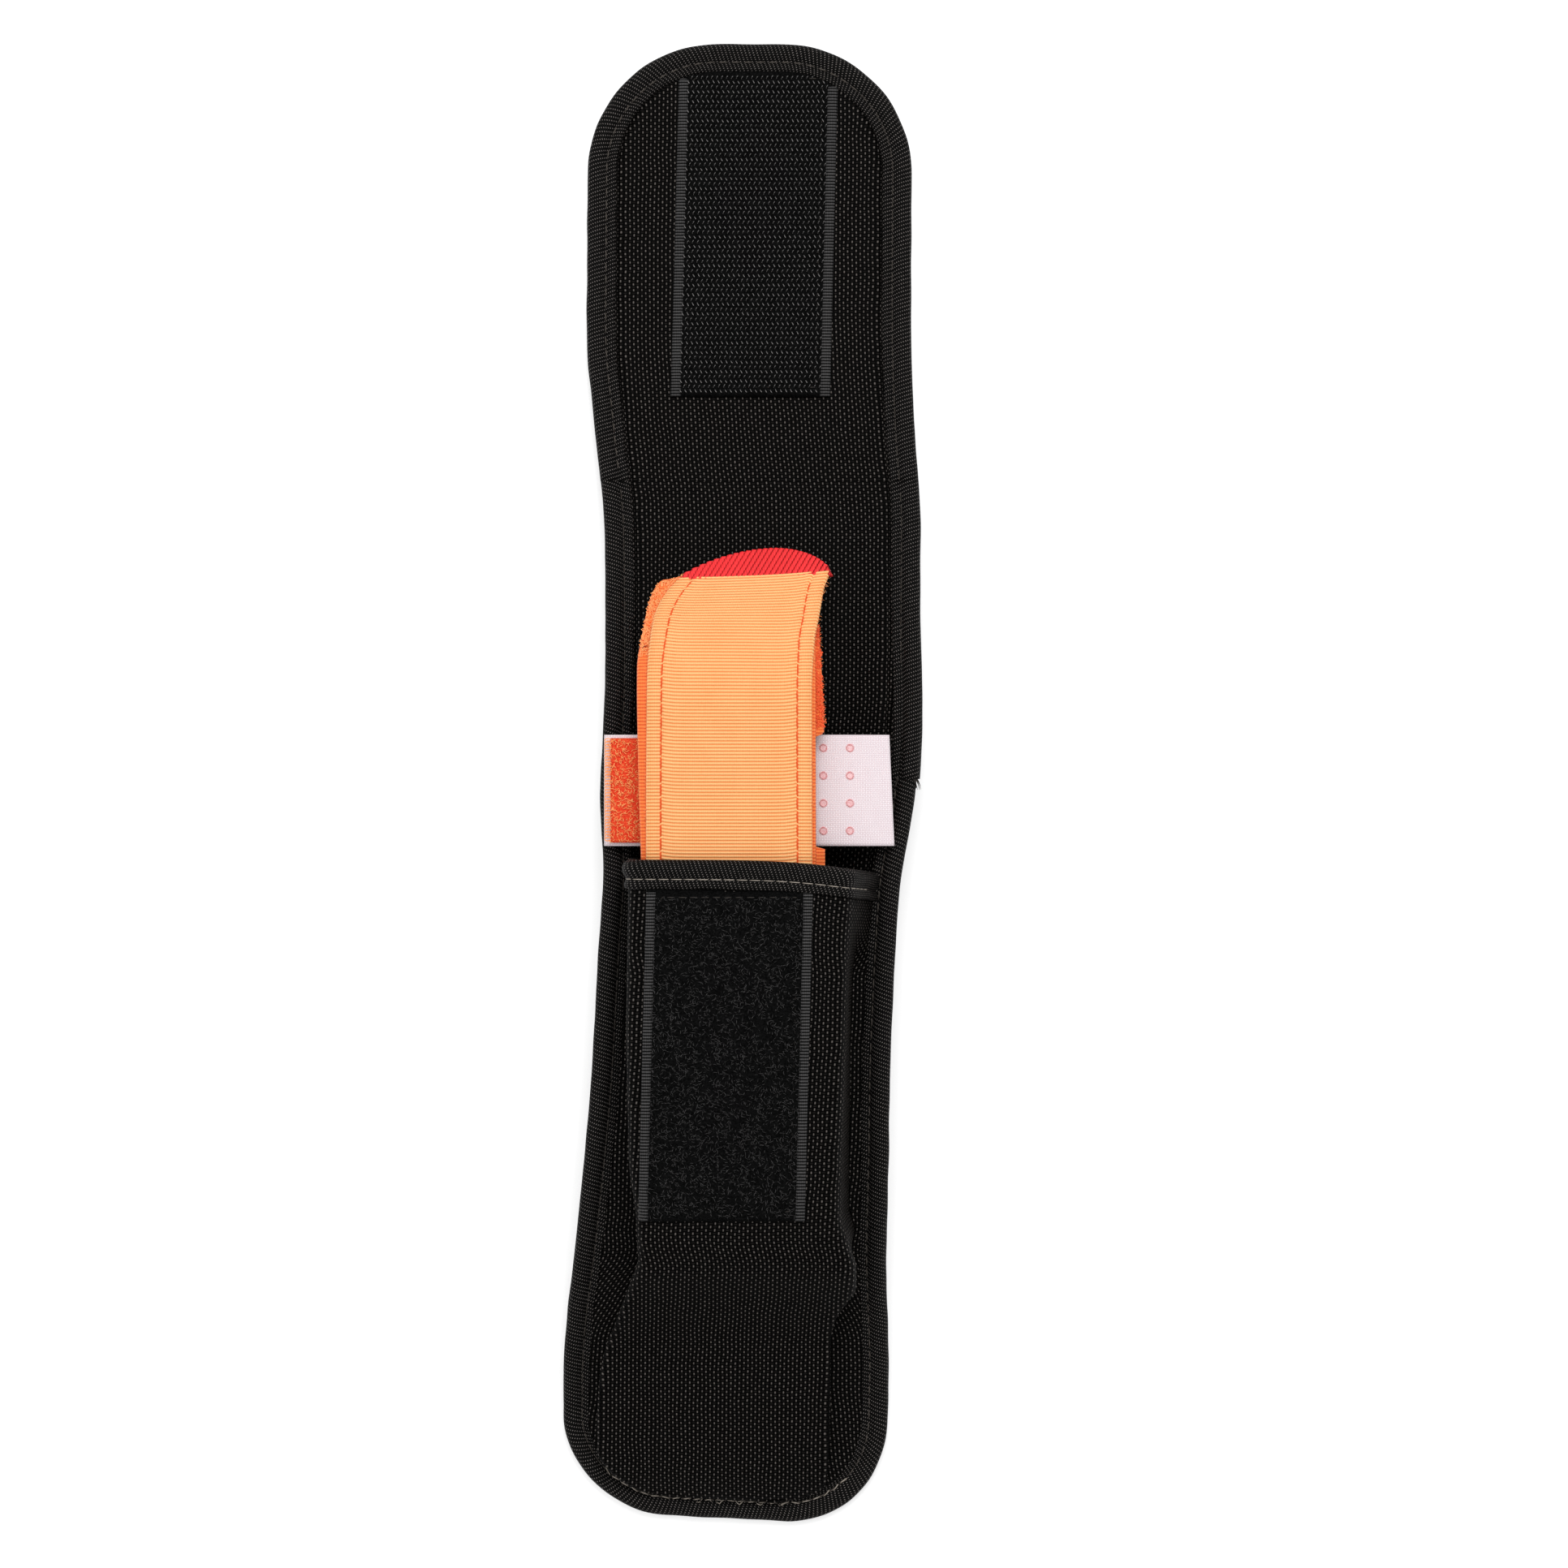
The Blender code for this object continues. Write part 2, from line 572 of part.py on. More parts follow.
def make_rod(body, cutters):
    """The windlass rod, with gripping ribs near both ends and the strap's slot at its middle."""
    half = ROD_LENGTH / 2
    profile = [(-half, 0.0), (-half, 2.0), (-half + 1.2, 3.3)]
    for i in range(5):
        start = -half + 4.0 + 4.6 * i
        profile += [(start, 3.9), (start + 1.4, 4.4), (start + 3.0, 4.4), (start + 4.2, 3.9)]
    profile += [(-half + 30.0, ROD_RADIUS)]
    profile += [(-along, radius) for along, radius in reversed(profile)]
    rod = turned_along_y("windlass_rod", profile, (BAND_X, ROD_Y, ROD_Z), "black_plastic", body)
    slot = block("slot_cutter", (BAND_X - SLOT_WIDTH / 2, ROD_Y - SLOT_LENGTH / 2, ROD_Z - 8),
                 (BAND_X + SLOT_WIDTH / 2, ROD_Y + SLOT_LENGTH / 2, ROD_Z + 8), "black_plastic", cutters)
    cut(rod, slot)


def make_clip(body):
    """The C-shaped clip that holds the rod's end: a flat base and two walls with hooked lips."""
    base = STRAP_Z - STRAP_THICK / 2 - GAP
    lip = ROD_Z - ROD_RADIUS + 0.9
    inner, outer = CLIP_GAP, CLIP_GAP + CLIP_WALL
    half = [(14.0, base), (14.0, base - 1.2), (outer, base - 1.2), (outer, lip + 1.6), (outer - 1.2, lip),
            (inner - CLIP_LIP, lip), (inner - CLIP_LIP, lip + 1.0), (inner, lip + 2.2), (inner, base - 1.2)]
    outline = half + [(-x, z) for x, z in reversed(half)]
    ends = [STRAP_Y - CLIP_LENGTH / 2, STRAP_Y + CLIP_LENGTH / 2]
    rings = [[(BAND_X + x, y, z) for x, z in outline] for y in ends]
    loft("windlass_clip", rings, "black_plastic", body)


def make_buckle(body, cutters):
    """The friction buckle: a frame with three bars, which the band threads."""
    low, high = BUCKLE_Y
    x = BAND_X + THIRD_SHIFT
    frame = block("friction_buckle", (x - BUCKLE_HALF_WIDTH, low, BUCKLE_Z[0]),
                  (x + BUCKLE_HALF_WIDTH, high, BUCKLE_Z[1]), "black_plastic", body)
    inner = BUCKLE_HALF_WIDTH - 2.0
    slot = (high - low - 3 * BUCKLE_BAR) / 2
    for i in range(2):
        start = low + BUCKLE_BAR + i * (slot + BUCKLE_BAR)
        cutter = block(f"buckle_cutter_{i}", (x - inner, start, BUCKLE_Z[0] - 2),
                       (x + inner, start + slot, BUCKLE_Z[1] + 2), "black_plastic", cutters)
        cut(frame, cutter)


def strap_box(name, x_low, x_high, drop_low, drop_high, thickness, offset, slot, collection, trim=0.0):
    """Webbing across the bundle from one X to another; each end may hang lower."""
    rings = []
    for t in spread(0, 1, 5):
        x = x_low + (x_high - x_low) * t
        z = STRAP_Z + offset - drop_low * (1 - t)**2 - drop_high * t**2
        half_y = STRAP_WIDTH / 2 - trim
        rings.append([(x, STRAP_Y - half_y, z - thickness / 2), (x, STRAP_Y + half_y, z - thickness / 2),
                      (x, STRAP_Y + half_y, z + thickness / 2), (x, STRAP_Y - half_y, z + thickness / 2)])
    return loft(name, rings, slot, collection)


def make_time_strap(body, left_body, right_body):
    """The strap that closes over the rod: its middle lies in the bundle, its two ends stick out."""
    root_left, root_right = BAND_X - BAND_HALF_WIDTH, BAND_X + BAND_HALF_WIDTH
    strap_box("time_strap_middle", root_left, root_right, 0, 0, STRAP_THICK, 0, "white_webbing", body)
    strap_box("time_strap_left_tab", LEFT_TAB_X, root_left - GAP, TAB_DROP, 0, STRAP_THICK, 0,
              "white_webbing", left_body)
    lift = STRAP_THICK / 2 + GAP + PATCH_THICK / 2
    strap_box("left_tab_patch", LEFT_TAB_X + 1.6, root_left - GAP, TAB_DROP * 0.75, 0, PATCH_THICK, lift,
              "hook_tape", left_body, trim=0.8)
    strap_box("time_strap_right_tab", root_right + GAP, RIGHT_TAB_X, 0, TAB_DROP, STRAP_THICK, 0,
              "white_webbing", right_body)
    strap_box("right_tab_patch", root_right + GAP, RIGHT_TAB_X - 1.2, 0, TAB_DROP * 0.88, PATCH_THICK, -lift,
              "hook_tape", right_body, trim=0.4)


# ------------------------------------------------------------------ assembly
def collection_in(parent, name):
    made = bpy.data.collections.new(name)
    parent.children.link(made)
    return made


def on_axis(collection, name, position):
    """Parents a body's pieces to an empty that stands on its joint's axis."""
    empty = bpy.data.objects.new(name, None)
    empty.location = Vector(position) * MM
    for obj in list(collection.objects):
        obj.parent = empty
        obj.matrix_parent_inverse = Matrix.Translation(-empty.location)
    collection.objects.link(empty)


def main():
    for obj in list(bpy.data.objects):
        bpy.data.objects.remove(obj)
    whole = collection_in(bpy.context.scene.collection, "tourniquet_in_pouch")
    names = ("pouch", "flap_bridge", "flap_front", "tourniquet", "windlass", "strap_left", "strap_right",
             "band_end")
    body = {name: collection_in(whole, name) for name in names}
    cutters = collection_in(bpy.context.scene.collection, "cutters")

    make_panels(body["pouch"], body["flap_bridge"], body["flap_front"])
    make_bindings(body["pouch"], body["flap_bridge"], body["flap_front"])
    make_pocket(body["pouch"])
    make_belt_loop(body["pouch"])
    make_flap_pad(body["flap_front"])

    make_band(body["tourniquet"])
    make_inner_strap(body["tourniquet"])
    make_plate(body["tourniquet"])
    make_clip(body["tourniquet"])
    make_buckle(body["tourniquet"], cutters)
    make_time_strap(body["tourniquet"], body["strap_left"], body["strap_right"])
    make_rod(body["windlass"], cutters)
    make_free_end(body["band_end"])

    on_axis(body["flap_bridge"], "flap_back_axis", (0, FOLD_BACK_Y, FOLD_BACK_Z))
    on_axis(body["flap_front"], "flap_front_axis", (0, FOLD_FRONT_Y, FOLD_FRONT_Z))
    on_axis(body["windlass"], "windlass_axis", (BAND_X, ROD_Y, ROD_Z))
    on_axis(body["strap_left"], "strap_left_axis", (BAND_X - BAND_HALF_WIDTH - GAP, STRAP_Y, LEFT_AXIS_Z))
    on_axis(body["strap_right"], "strap_right_axis", (BAND_X + BAND_HALF_WIDTH + GAP, STRAP_Y, RIGHT_AXIS_Z))
    on_axis(body["band_end"], "band_end_axis", (BAND_X, PEEL_Y, PEEL_Z))


main()
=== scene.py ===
"""Looks of the windlass tourniquet in its open belt pouch.

Fabric, webbing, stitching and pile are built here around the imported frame. Shapes are worked out in
millimetres and turned into metres where a mesh is made. Every mesh carries a UV map in millimetres
along its threads, which the weaves read.
"""
import bisect
import collections
import json
import math
import random

import bmesh
import bpy
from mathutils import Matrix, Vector, noise


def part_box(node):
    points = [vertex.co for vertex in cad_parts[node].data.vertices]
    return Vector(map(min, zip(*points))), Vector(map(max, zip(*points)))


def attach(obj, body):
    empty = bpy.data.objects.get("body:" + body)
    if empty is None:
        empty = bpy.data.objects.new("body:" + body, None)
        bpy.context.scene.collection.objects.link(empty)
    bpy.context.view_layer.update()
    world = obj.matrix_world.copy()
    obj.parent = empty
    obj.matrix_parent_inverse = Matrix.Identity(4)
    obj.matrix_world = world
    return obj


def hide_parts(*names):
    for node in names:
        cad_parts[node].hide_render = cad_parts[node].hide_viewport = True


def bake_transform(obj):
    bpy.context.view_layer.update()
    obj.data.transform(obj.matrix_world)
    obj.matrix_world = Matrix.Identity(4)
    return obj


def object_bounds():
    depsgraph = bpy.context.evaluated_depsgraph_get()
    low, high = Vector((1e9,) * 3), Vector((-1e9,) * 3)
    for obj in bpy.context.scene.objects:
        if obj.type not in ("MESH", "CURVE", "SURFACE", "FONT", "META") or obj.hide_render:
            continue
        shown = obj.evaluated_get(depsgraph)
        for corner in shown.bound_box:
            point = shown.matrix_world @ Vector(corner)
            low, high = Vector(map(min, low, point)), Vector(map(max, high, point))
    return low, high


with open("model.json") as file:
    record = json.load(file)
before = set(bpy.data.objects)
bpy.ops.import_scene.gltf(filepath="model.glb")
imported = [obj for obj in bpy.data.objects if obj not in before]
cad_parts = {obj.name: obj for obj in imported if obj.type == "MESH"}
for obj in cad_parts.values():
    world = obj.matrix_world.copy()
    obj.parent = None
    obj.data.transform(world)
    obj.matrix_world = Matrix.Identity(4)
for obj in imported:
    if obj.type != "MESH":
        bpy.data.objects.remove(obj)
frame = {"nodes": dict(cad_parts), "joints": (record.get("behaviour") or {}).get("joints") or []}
CAD_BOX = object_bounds()
MM = 0.001
rng = random.Random(11)

# ------------------------------------------------------------ the strip's shape, as the part has it
# Each curve is a list of (y, value) keys.
BASE_Y, TIP_Y = CAD_BOX[0][1] / MM, CAD_BOX[1][1] / MM
BASE_RADIUS, TIP_RADIUS = 25.0, 31.0
FLAT_SHARE, EDGE_POWER = 0.5, 1.5
FULL_LIFT = 11.0
CENTRE_X = [(-177, -4.4), (-131, -3.6), (-84, -0.9), (-38, 1.4), (-10, 3.4), (30, 5.0),
            (60, 4.9), (84, 3.0), (108, 1.6), (177, 2.0)]
HALF_WIDTH = [(-177, 38.9), (-143, 38.9), (-107, 36.4), (-60, 34.6), (-27, 34.5), (0, 37.0),
              (40, 37.3), (84, 38.2), (108, 38.9), (177, 38.9)]
EDGE_LIFT = [(-177, 0), (-150, 0.8), (-130, 3.5), (-107, 7.5), (-83, 10.5), (-35, 11), (0, 8),
             (30, 5), (60, 2.5), (85, 1.5), (115, 0.5), (177, 0)]
PANEL_Z = [(-177, 1.9), (-150, 2.9), (-122, 6.6), (-104, 8.0), (30, 8.0), (60, 6.2), (85, 4.6),
           (120, 2.6), (177, 1.9)]
PANEL_THICK, PANEL_ROW = 1.8, 1.6
JOINTS = {joint["name"]: joint for joint in frame["joints"]}
FOLD_BACK_Y = JOINTS["flap_back_fold"]["pos_m"][1] / MM
FOLD_FRONT_Y = JOINTS["flap_front_fold"]["pos_m"][1] / MM
SPLIT_Y = (FOLD_BACK_Y + FOLD_FRONT_Y) / 2      # the fabric is split halfway between the two folds
PEEL_Y = JOINTS["band_end_peel"]["pos_m"][1] / MM
TAPE_WIDTH = 7.0
STITCH_INSET = 4.6
STITCH_PITCH = 3.0
SEAM_HEIGHT = 1.16                              # of the binding's seam over the strip's middle
BACK_SEAM_DROP = 2.35
OUTLINE_STEP = 1.4
TAPE_JOINT_Y = 2.0
BASE_SLOPE = 0.05                               # the lower end hangs lower on its right
SLOPE_FROM_Y, SLOPE_SPAN, SLOPE_X = -140, 35, -4
POCKET_TOP_Y, POCKET_FOOT_Y = -24.0, -171.5
MOUTH_TOP_Y = POCKET_TOP_Y + 6.0
MOUTH_DROP = 3.9                                # the mouth is lower where its right end meets the seam
FACE_Z = [(-172, 4.8), (-165, 8.0), (-150, 11.2), (-133, 15.6), (-121, 24), (-112, 31.5), (-100, 34.4),
          (-18, 34.8)]
FACE_LEFT = [(-172, -33), (-160, -34), (-146, -33.6), (-136, -32.2), (-126, -28.6), (-117, -25.4),
             (-110, -23.2), (-100, -23.6), (-88, -25.2), (-55, -25.8), (-18, -25.2)]
FACE_RIGHT = [(-172, 18.4), (-165, 19.8), (-150, 20.4), (-133, 20.4), (-126, 21.6), (-121, 24.6),
              (-116, 27.2), (-107, 24.2), (-100, 22.0), (-60, 23.2), (-18, 24.4)]
SIDE_REACH = [(-172, 33.5), (-131, 33), (-107, 31), (-60, 30.0), (-18, 30.2)]
LEFT_UNDERCUT = 1.0                             # how far the pocket's sides run in under its face
RIGHT_UNDERCUT = [(-172, 1.0), (-112, 1.0), (-104, -3.0), (-80, -2.6), (-60, -2.0), (-18, -2.0)]
FOLD_SIZE = 3.4                                 # rounding of the pocket's two long folds
STEP_SHARE = 0.6                                # of a stepped side's points lie flat, before it rises
FULL_STEP = 0.92
POCKET_CLOTH, POCKET_ROW = 1.3, 1.5             # the fabric's thickness, and its rows' spacing
PANEL_INSET = 4.0                               # the panel ends this far inside the binding
PAD_HALF = 18.95
PAD_ROW = 0.9
POCKET_LOOPS = 4600
HOOK_ROW, HOOK_COLUMN = 1.16, 1.2
THREAD_X, THREAD_Y = 0.97, 0.73                 # thread pitch of the coarse nylon
RIB_PITCH = 0.79                                # ribs of the orange band

BAND_X = JOINTS["band_end_peel"]["pos_m"][0] / MM
BAND_THICK = 1.9
FRONT_Z = 31.45
BAND_PITCH = 2.2
LEAN_FROM_Y, LEAN_SPAN, LEAN_DEPTH = 18.0, 30.0, 12.0
WEBBING_EDGE = 0.25                             # half the thickness of a webbing at its very edge
SEAM_ROWS = (-0.7, -0.25, 0.25, 0.7)            # extra columns of points beside a band's seam
FRONT_COLUMNS, RUN_COLUMNS = 20, 12             # columns of points across the front run and the others
TIP_CORD_PITCH = 1.1
UP = Vector((0, 0, 1))


# ------------------------------------------------------------ mathematics
def through(keys, y):
    """A smooth curve through (y, value) keys."""
    if y <= keys[0][0]:
        return keys[0][1]
    if y >= keys[-1][0]:
        return keys[-1][1]
    i = max(k for k in range(len(keys) - 1) if keys[k][0] <= y)
    slopes = [(b[1] - a[1]) / (b[0] - a[0]) for a, b in zip(keys, keys[1:])]

    def tangent(k):
        if k == 0 or k == len(keys) - 1:
            return slopes[0] if k == 0 else slopes[-1]
        before, after = slopes[k - 1], slopes[k]
        return 2 * before * after / (before + after) if before * after > 0 else 0.0

    span = keys[i + 1][0] - keys[i][0]
    t = (y - keys[i][0]) / span
    return ((2 * t**3 - 3 * t**2 + 1) * keys[i][1] + (t**3 - 2 * t**2 + t) * span * tangent(i)
            + (3 * t**2 - 2 * t**3) * keys[i + 1][1] + (t**3 - t**2) * span * tangent(i + 1))


def spread(low, high, count):
    """That many values, evenly from low to high."""
    return [low + (high - low) * i / (count - 1) for i in range(count)]


def steps(low, high, size):
    """Values from low to high about size apart."""
    return spread(low, high, max(2, int(abs(high - low) / size) + 1))


def ease(t):
    """A smooth step from 0 to 1."""
    t = min(max(t, 0.0), 1.0)
    return t * t * (3 - 2 * t)


def ripple(x, y, size, seed=0.0):
    """Smooth noise from -1 to 1 with features of about that size."""
    return noise.noise(Vector((x / size, y / size, seed)))


def reach(y, inset=0.0):
    """Half width of the strip at y, inset from its outline, with the corners rounded."""
    half = through(HALF_WIDTH, y) - inset
    for past, radius in ((y - TIP_Y + TIP_RADIUS, TIP_RADIUS), (BASE_Y + BASE_RADIUS - y, BASE_RADIUS)):
        inner = radius - inset
        if past > 0:
            half -= inner - math.sqrt(max(inner**2 - past**2, 0.0))
    return half


def panel_z(x, y):
    """Height of the strip's middle surface."""
    share = abs(x - through(CENTRE_X, y)) / through(HALF_WIDTH, y)
    turn = max(share - FLAT_SHARE, 0.0) / (1 - FLAT_SHARE)
    return through(PANEL_Z, y) + through(EDGE_LIFT, y) * turn**EDGE_POWER


def settle(point):
    """The lower end's slope, which every piece near it shares."""
    x, y, z = point
    return Vector((x, y - BASE_SLOPE * (x - SLOPE_X) * ease((SLOPE_FROM_Y - y) / SLOPE_SPAN), z))


def bezier(a, corner, b, count):
    return [a * (1 - t)**2 + corner * 2 * t * (1 - t) + b * t**2 for t in spread(0, 1, count)]


# ------------------------------------------------------------ meshes
def measured(rows, closed):
    """A uv function that measures rows of points along them and across them."""
    middle = [sum((Vector(p) for p in row), Vector()) / len(row) for row in rows]
    along = [0.0]
    for a, b in zip(middle, middle[1:]):
        along.append(along[-1] + (b - a).length)
    across = []
    for row in rows:
        ring = list(row) + ([row[0]] if closed else [])
        run = [0.0]
        for a, b in zip(ring, ring[1:]):
            run.append(run[-1] + (Vector(b) - Vector(a)).length)
        across.append([value - run[-1] / 2 for value in run])
    return lambda i, j: (across[i][j], along[i])


def sweep(name, rows, material, closed=False, caps=False, uv=None, thickness=0.0, rim=True):
    """A surface through rows of points, or a closed tube through rings of them. uv(i, j) may give
    a corner's place in millimetres; otherwise it is measured along the threads."""
    count, last = len(rows[0]), len(rows) - 1
    uv = uv or measured(rows, closed)
    verts = [Vector(p) * MM for row in rows for p in row]
    faces, corners = [], []
    for i in range(last):
        for j in range(count if closed else count - 1):
            k = (j + 1) % count
            faces.append((i * count + j, i * count + k, (i + 1) * count + k, (i + 1) * count + j))
            corners += [uv(i, j), uv(i, j + 1), uv(i + 1, j + 1), uv(i + 1, j)]
    if caps:
        faces.append(tuple(reversed(range(count))))
        corners += [uv(0, j) for j in reversed(range(count))]
        faces.append(tuple(last * count + j for j in range(count)))
        corners += [uv(last, j) for j in range(count)]
    obj = finish_mesh(name, verts, faces, corners, material)
    if thickness:
        solid = obj.modifiers.new("thickness", "SOLIDIFY")
        solid.thickness = thickness * MM
        solid.offset = 0
        solid.use_rim = rim
    return obj


def finish_mesh(name, verts, faces, corners, material, smooth=True):
    """A mesh from its points in metres, its faces, and the uv of each of their corners."""
    mesh = bpy.data.meshes.new(name)
    mesh.from_pydata(verts, [], faces)
    layer = mesh.uv_layers.new(name="threads")
    layer.data.foreach_set("uv", [value for corner in corners for value in corner])
    mesh.materials.append(material)
    for face in mesh.polygons:
        face.use_smooth = smooth and len(face.vertices) <= 4
    obj = bpy.data.objects.new(name, mesh)
    bpy.context.scene.collection.objects.link(obj)
    outward(obj)
    return obj


def outward(obj):
    """Turns a mesh's faces so that they point out."""
    bm = bmesh.new()
    bm.from_mesh(obj.data)
    bmesh.ops.recalc_face_normals(bm, faces=bm.faces)
    bm.to_mesh(obj.data)
    bm.free()


def tubes(name, lines, material, sides=5, ribbon=False):
    """Many fine threads in one mesh. Each line is a list of (point, radius); a ribbon is a fibre
    lying flat."""
    verts, faces, corners = [], [], []
    for line in lines:
        start = len(verts)
        for i, (point, radius) in enumerate(line):
            before, after = line[max(i - 1, 0)][0], line[min(i + 1, len(line) - 1)][0]
            way = (after - before).normalized()
            aside = (way.cross(UP) if ribbon else way.orthogonal()).normalized()
            other = way.cross(aside) * (0.3 if ribbon else 1.0)
            for k in range(sides):
                angle = 2 * math.pi * k / sides
                spoke = aside * math.cos(angle) + other * math.sin(angle)
                verts.append((point + spoke * radius) * MM)
        for i in range(len(line) - 1):
            for k in range(sides):
                m = (k + 1) % sides
                a = start + i * sides
                faces.append((a + k, a + m, a + sides + m, a + sides + k))
                corners += [(k, i), (k + 1, i), (k + 1, i + 1), (k, i + 1)]
        end = start + (len(line) - 1) * sides
        faces.append(tuple(start + k for k in reversed(range(sides))))
        faces.append(tuple(end + k for k in range(sides)))
        corners += [(k, 0) for k in range(2 * sides)]
    return finish_mesh(name, verts, faces, corners, material, smooth=not ribbon)


def along_line(points):
    """A function that gives the point and direction at a distance along a polyline, and its length."""
    marks = [0.0]
    for a, b in zip(points, points[1:]):
        marks.append(marks[-1] + (b - a).length)

    def at(s):
        s = min(max(s, 0.0), marks[-1])
        i = min(max(bisect.bisect_right(marks, s) - 1, 0), len(points) - 2)
        t = (s - marks[i]) / max(marks[i + 1] - marks[i], 1e-9)
        return points[i].lerp(points[i + 1], t), (points[i + 1] - points[i]).normalized()

    return at, marks[-1]


# One stitch: place along it, height over the fabric and thickness, as shares of its length and radius.
STITCH_SHAPE = [(0, -0.5, 0.5), (0.12, 0.35, 0.95), (0.5, 0.6, 1.0), (0.88, 0.35, 0.95), (1, -0.5, 0.5)]


def stitch_lines(points, up=UP, pitch=STITCH_PITCH, share=0.74, radius=0.2, wander=0.0):
    """The threads of one seam: short stitches that dive in at both ends."""
    at, length = along_line(points)
    lines = []
    for n in range(int(length / pitch)):
        start = (n + 0.1) * pitch
        slip = wander * (rng.random() - 0.5)
        line = []
        for t, rise, size in STITCH_SHAPE:
            point, way = at(start + t * share * pitch)
            aside = way.cross(up) * slip * (t - 0.5)
            line.append((point + up * radius * rise + aside, radius * size))
        lines.append(line)
    return lines


def belongs(body, slot, *pieces):
    """Pieces that ride on one body; slot is not used."""
    for piece in pieces:
        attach(piece, body)


# ------------------------------------------------------------ materials
class Graph:
    """A small helper that wires a material's nodes."""

    def __init__(self, name, roughness, sheen=0.0, gloss=0.4):
        self.material = bpy.data.materials.new(name)
        self.material.use_nodes = True
        self.tree = self.material.node_tree
        self.shader = self.tree.nodes["Principled BSDF"]
        self.shader.inputs["Roughness"].default_value = roughness
        self.shader.inputs["Sheen Weight"].default_value = sheen
        self.shader.inputs["Sheen Roughness"].default_value = 0.4
        self.shader.inputs["Specular IOR Level"].default_value = gloss
        uv = self.node("ShaderNodeUVMap")
        uv.uv_map = "threads"
        self.uv = uv.outputs["UV"]
        split = self.node("ShaderNodeSeparateXYZ")
        self.link(self.uv, split.inputs[0])
        self.u, self.v = split.outputs[0], split.outputs[1]

    def node(self, kind):
        return self.tree.nodes.new(kind)

    def link(self, a, b):
        self.tree.links.new(a, b)

    def math(self, operation, a, b=0.0, clamp=False):
        node = self.node("ShaderNodeMath")
        node.operation = operation
        node.use_clamp = clamp
        for socket, value in zip(node.inputs, (a, b)):
            if isinstance(value, (int, float)):
                socket.default_value = value
            else:
                self.link(value, socket)
        return node.outputs[0]

    def times(self, a, b, clamp=False):
        return self.math("MULTIPLY", a, b, clamp)

    def plus(self, a, b, clamp=False):
        return self.math("ADD", a, b, clamp)

    def power(self, a, exponent):
        return self.math("POWER", a, exponent)

    def size(self, a):
        return self.math("ABSOLUTE", a)

    def wave(self, value, pitch):
        """abs(sin) with one hump for each pitch."""
        return self.size(self.signed_wave(value, pitch))

    def signed_wave(self, value, pitch):
        return self.math("SINE", self.times(value, math.pi / pitch))

    def noise(self, size, detail=2.0, stretch=(1, 1, 1)):
        mapping = self.node("ShaderNodeMapping")
        mapping.inputs["Scale"].default_value = [s / size for s in stretch]
        self.link(self.uv, mapping.inputs["Vector"])
        texture = self.node("ShaderNodeTexNoise")
        texture.inputs["Scale"].default_value = 1.0
        texture.inputs["Detail"].default_value = detail
        self.link(mapping.outputs[0], texture.inputs["Vector"])
        return texture.outputs["Fac"]

    def waver(self, size, amount, stretch=(1, 1, 1)):
        """Noise about zero."""
        return self.times(self.math("SUBTRACT", self.noise(size, stretch=stretch), 0.5), amount)

    def patches(self, size, base, amount):
        """Lighter and darker patches."""
        return self.plus(base, self.times(self.noise(size, 3.0), amount))

    def ramp(self, value, *stops):
        node = self.node("ShaderNodeValToRGB")
        node.color_ramp.interpolation = "EASE"
        elements = node.color_ramp.elements
        while len(elements) < len(stops):
            elements.new(0.5)
        for element, (place, colour) in zip(elements, stops):
            element.position = place
            element.color = (*colour, 1)
        self.link(value, node.inputs[0])
        return node.outputs[0]

    def finish(self, colour, height, depth):
        """Wires the colour, and a bump of that many millimetres."""
        self.link(colour, self.shader.inputs["Base Color"])
        bump = self.node("ShaderNodeBump")
        bump.inputs["Strength"].default_value = 1.0
        bump.inputs["Distance"].default_value = depth * MM
        self.link(height, bump.inputs["Height"])
        self.link(bump.outputs[0], self.shader.inputs["Normal"])
        return self.material


def plain_weave(name, dark, mid, light, pitch_u, pitch_v, depth=0.25, gloss=0.02):
    """Threads over and under each other; those along V stand out more, as in packcloth."""
    g = Graph(name, 0.55, gloss=gloss)
    waver = g.waver(9.0, 0.9)
    a = g.signed_wave(g.plus(g.u, waver), pitch_u)
    b = g.signed_wave(g.plus(g.v, waver), pitch_v)
    up_thread = g.times(g.power(g.size(a), 3.2), g.power(g.size(b), 0.4))
    side_thread = g.times(g.power(g.size(a), 0.4), g.power(g.size(b), 3.6))
    over = g.math("GREATER_THAN", g.times(a, b), 0.0)
    under = g.math("SUBTRACT", 1.0, over)
    height = g.plus(g.times(over, up_thread), g.times(g.times(under, side_thread), 0.5))
    # The colour follows the threads' height: painted shade where threads dip and painted highlight on their
    # crowns.
    shade = g.times(g.power(height, 1.3), g.patches(2.2, 0.55, 0.9), clamp=True)
    return g.finish(g.ramp(shade, (0.0, dark), (0.3, mid), (1.0, light)), height, depth)


def twill(name, dark, mid, light, pitch_u, pitch_v, slant, depth=0.16):
    """Fine tape: short floats in slanting rows."""
    g = Graph(name, 0.5, gloss=0.03)
    waver = g.waver(6.0, 0.5)
    u = g.plus(g.u, waver)
    v = g.plus(g.plus(g.v, g.times(g.u, slant)), waver)
    product = g.times(g.signed_wave(u, pitch_u), g.signed_wave(v, pitch_v))
    low = g.times(g.math("LESS_THAN", product, 0.0), 0.6)
    height = g.times(g.power(g.size(product), 0.8), g.math("SUBTRACT", 1.0, low))
    # The colour follows the threads' height: painted shade where threads dip and painted highlight on their
    # crowns.
    shade = g.times(g.power(height, 1.5), g.patches(1.6, 0.6, 0.8), clamp=True)
    return g.finish(g.ramp(shade, (0.0, dark), (0.35, mid), (1.0, light)), height, depth)


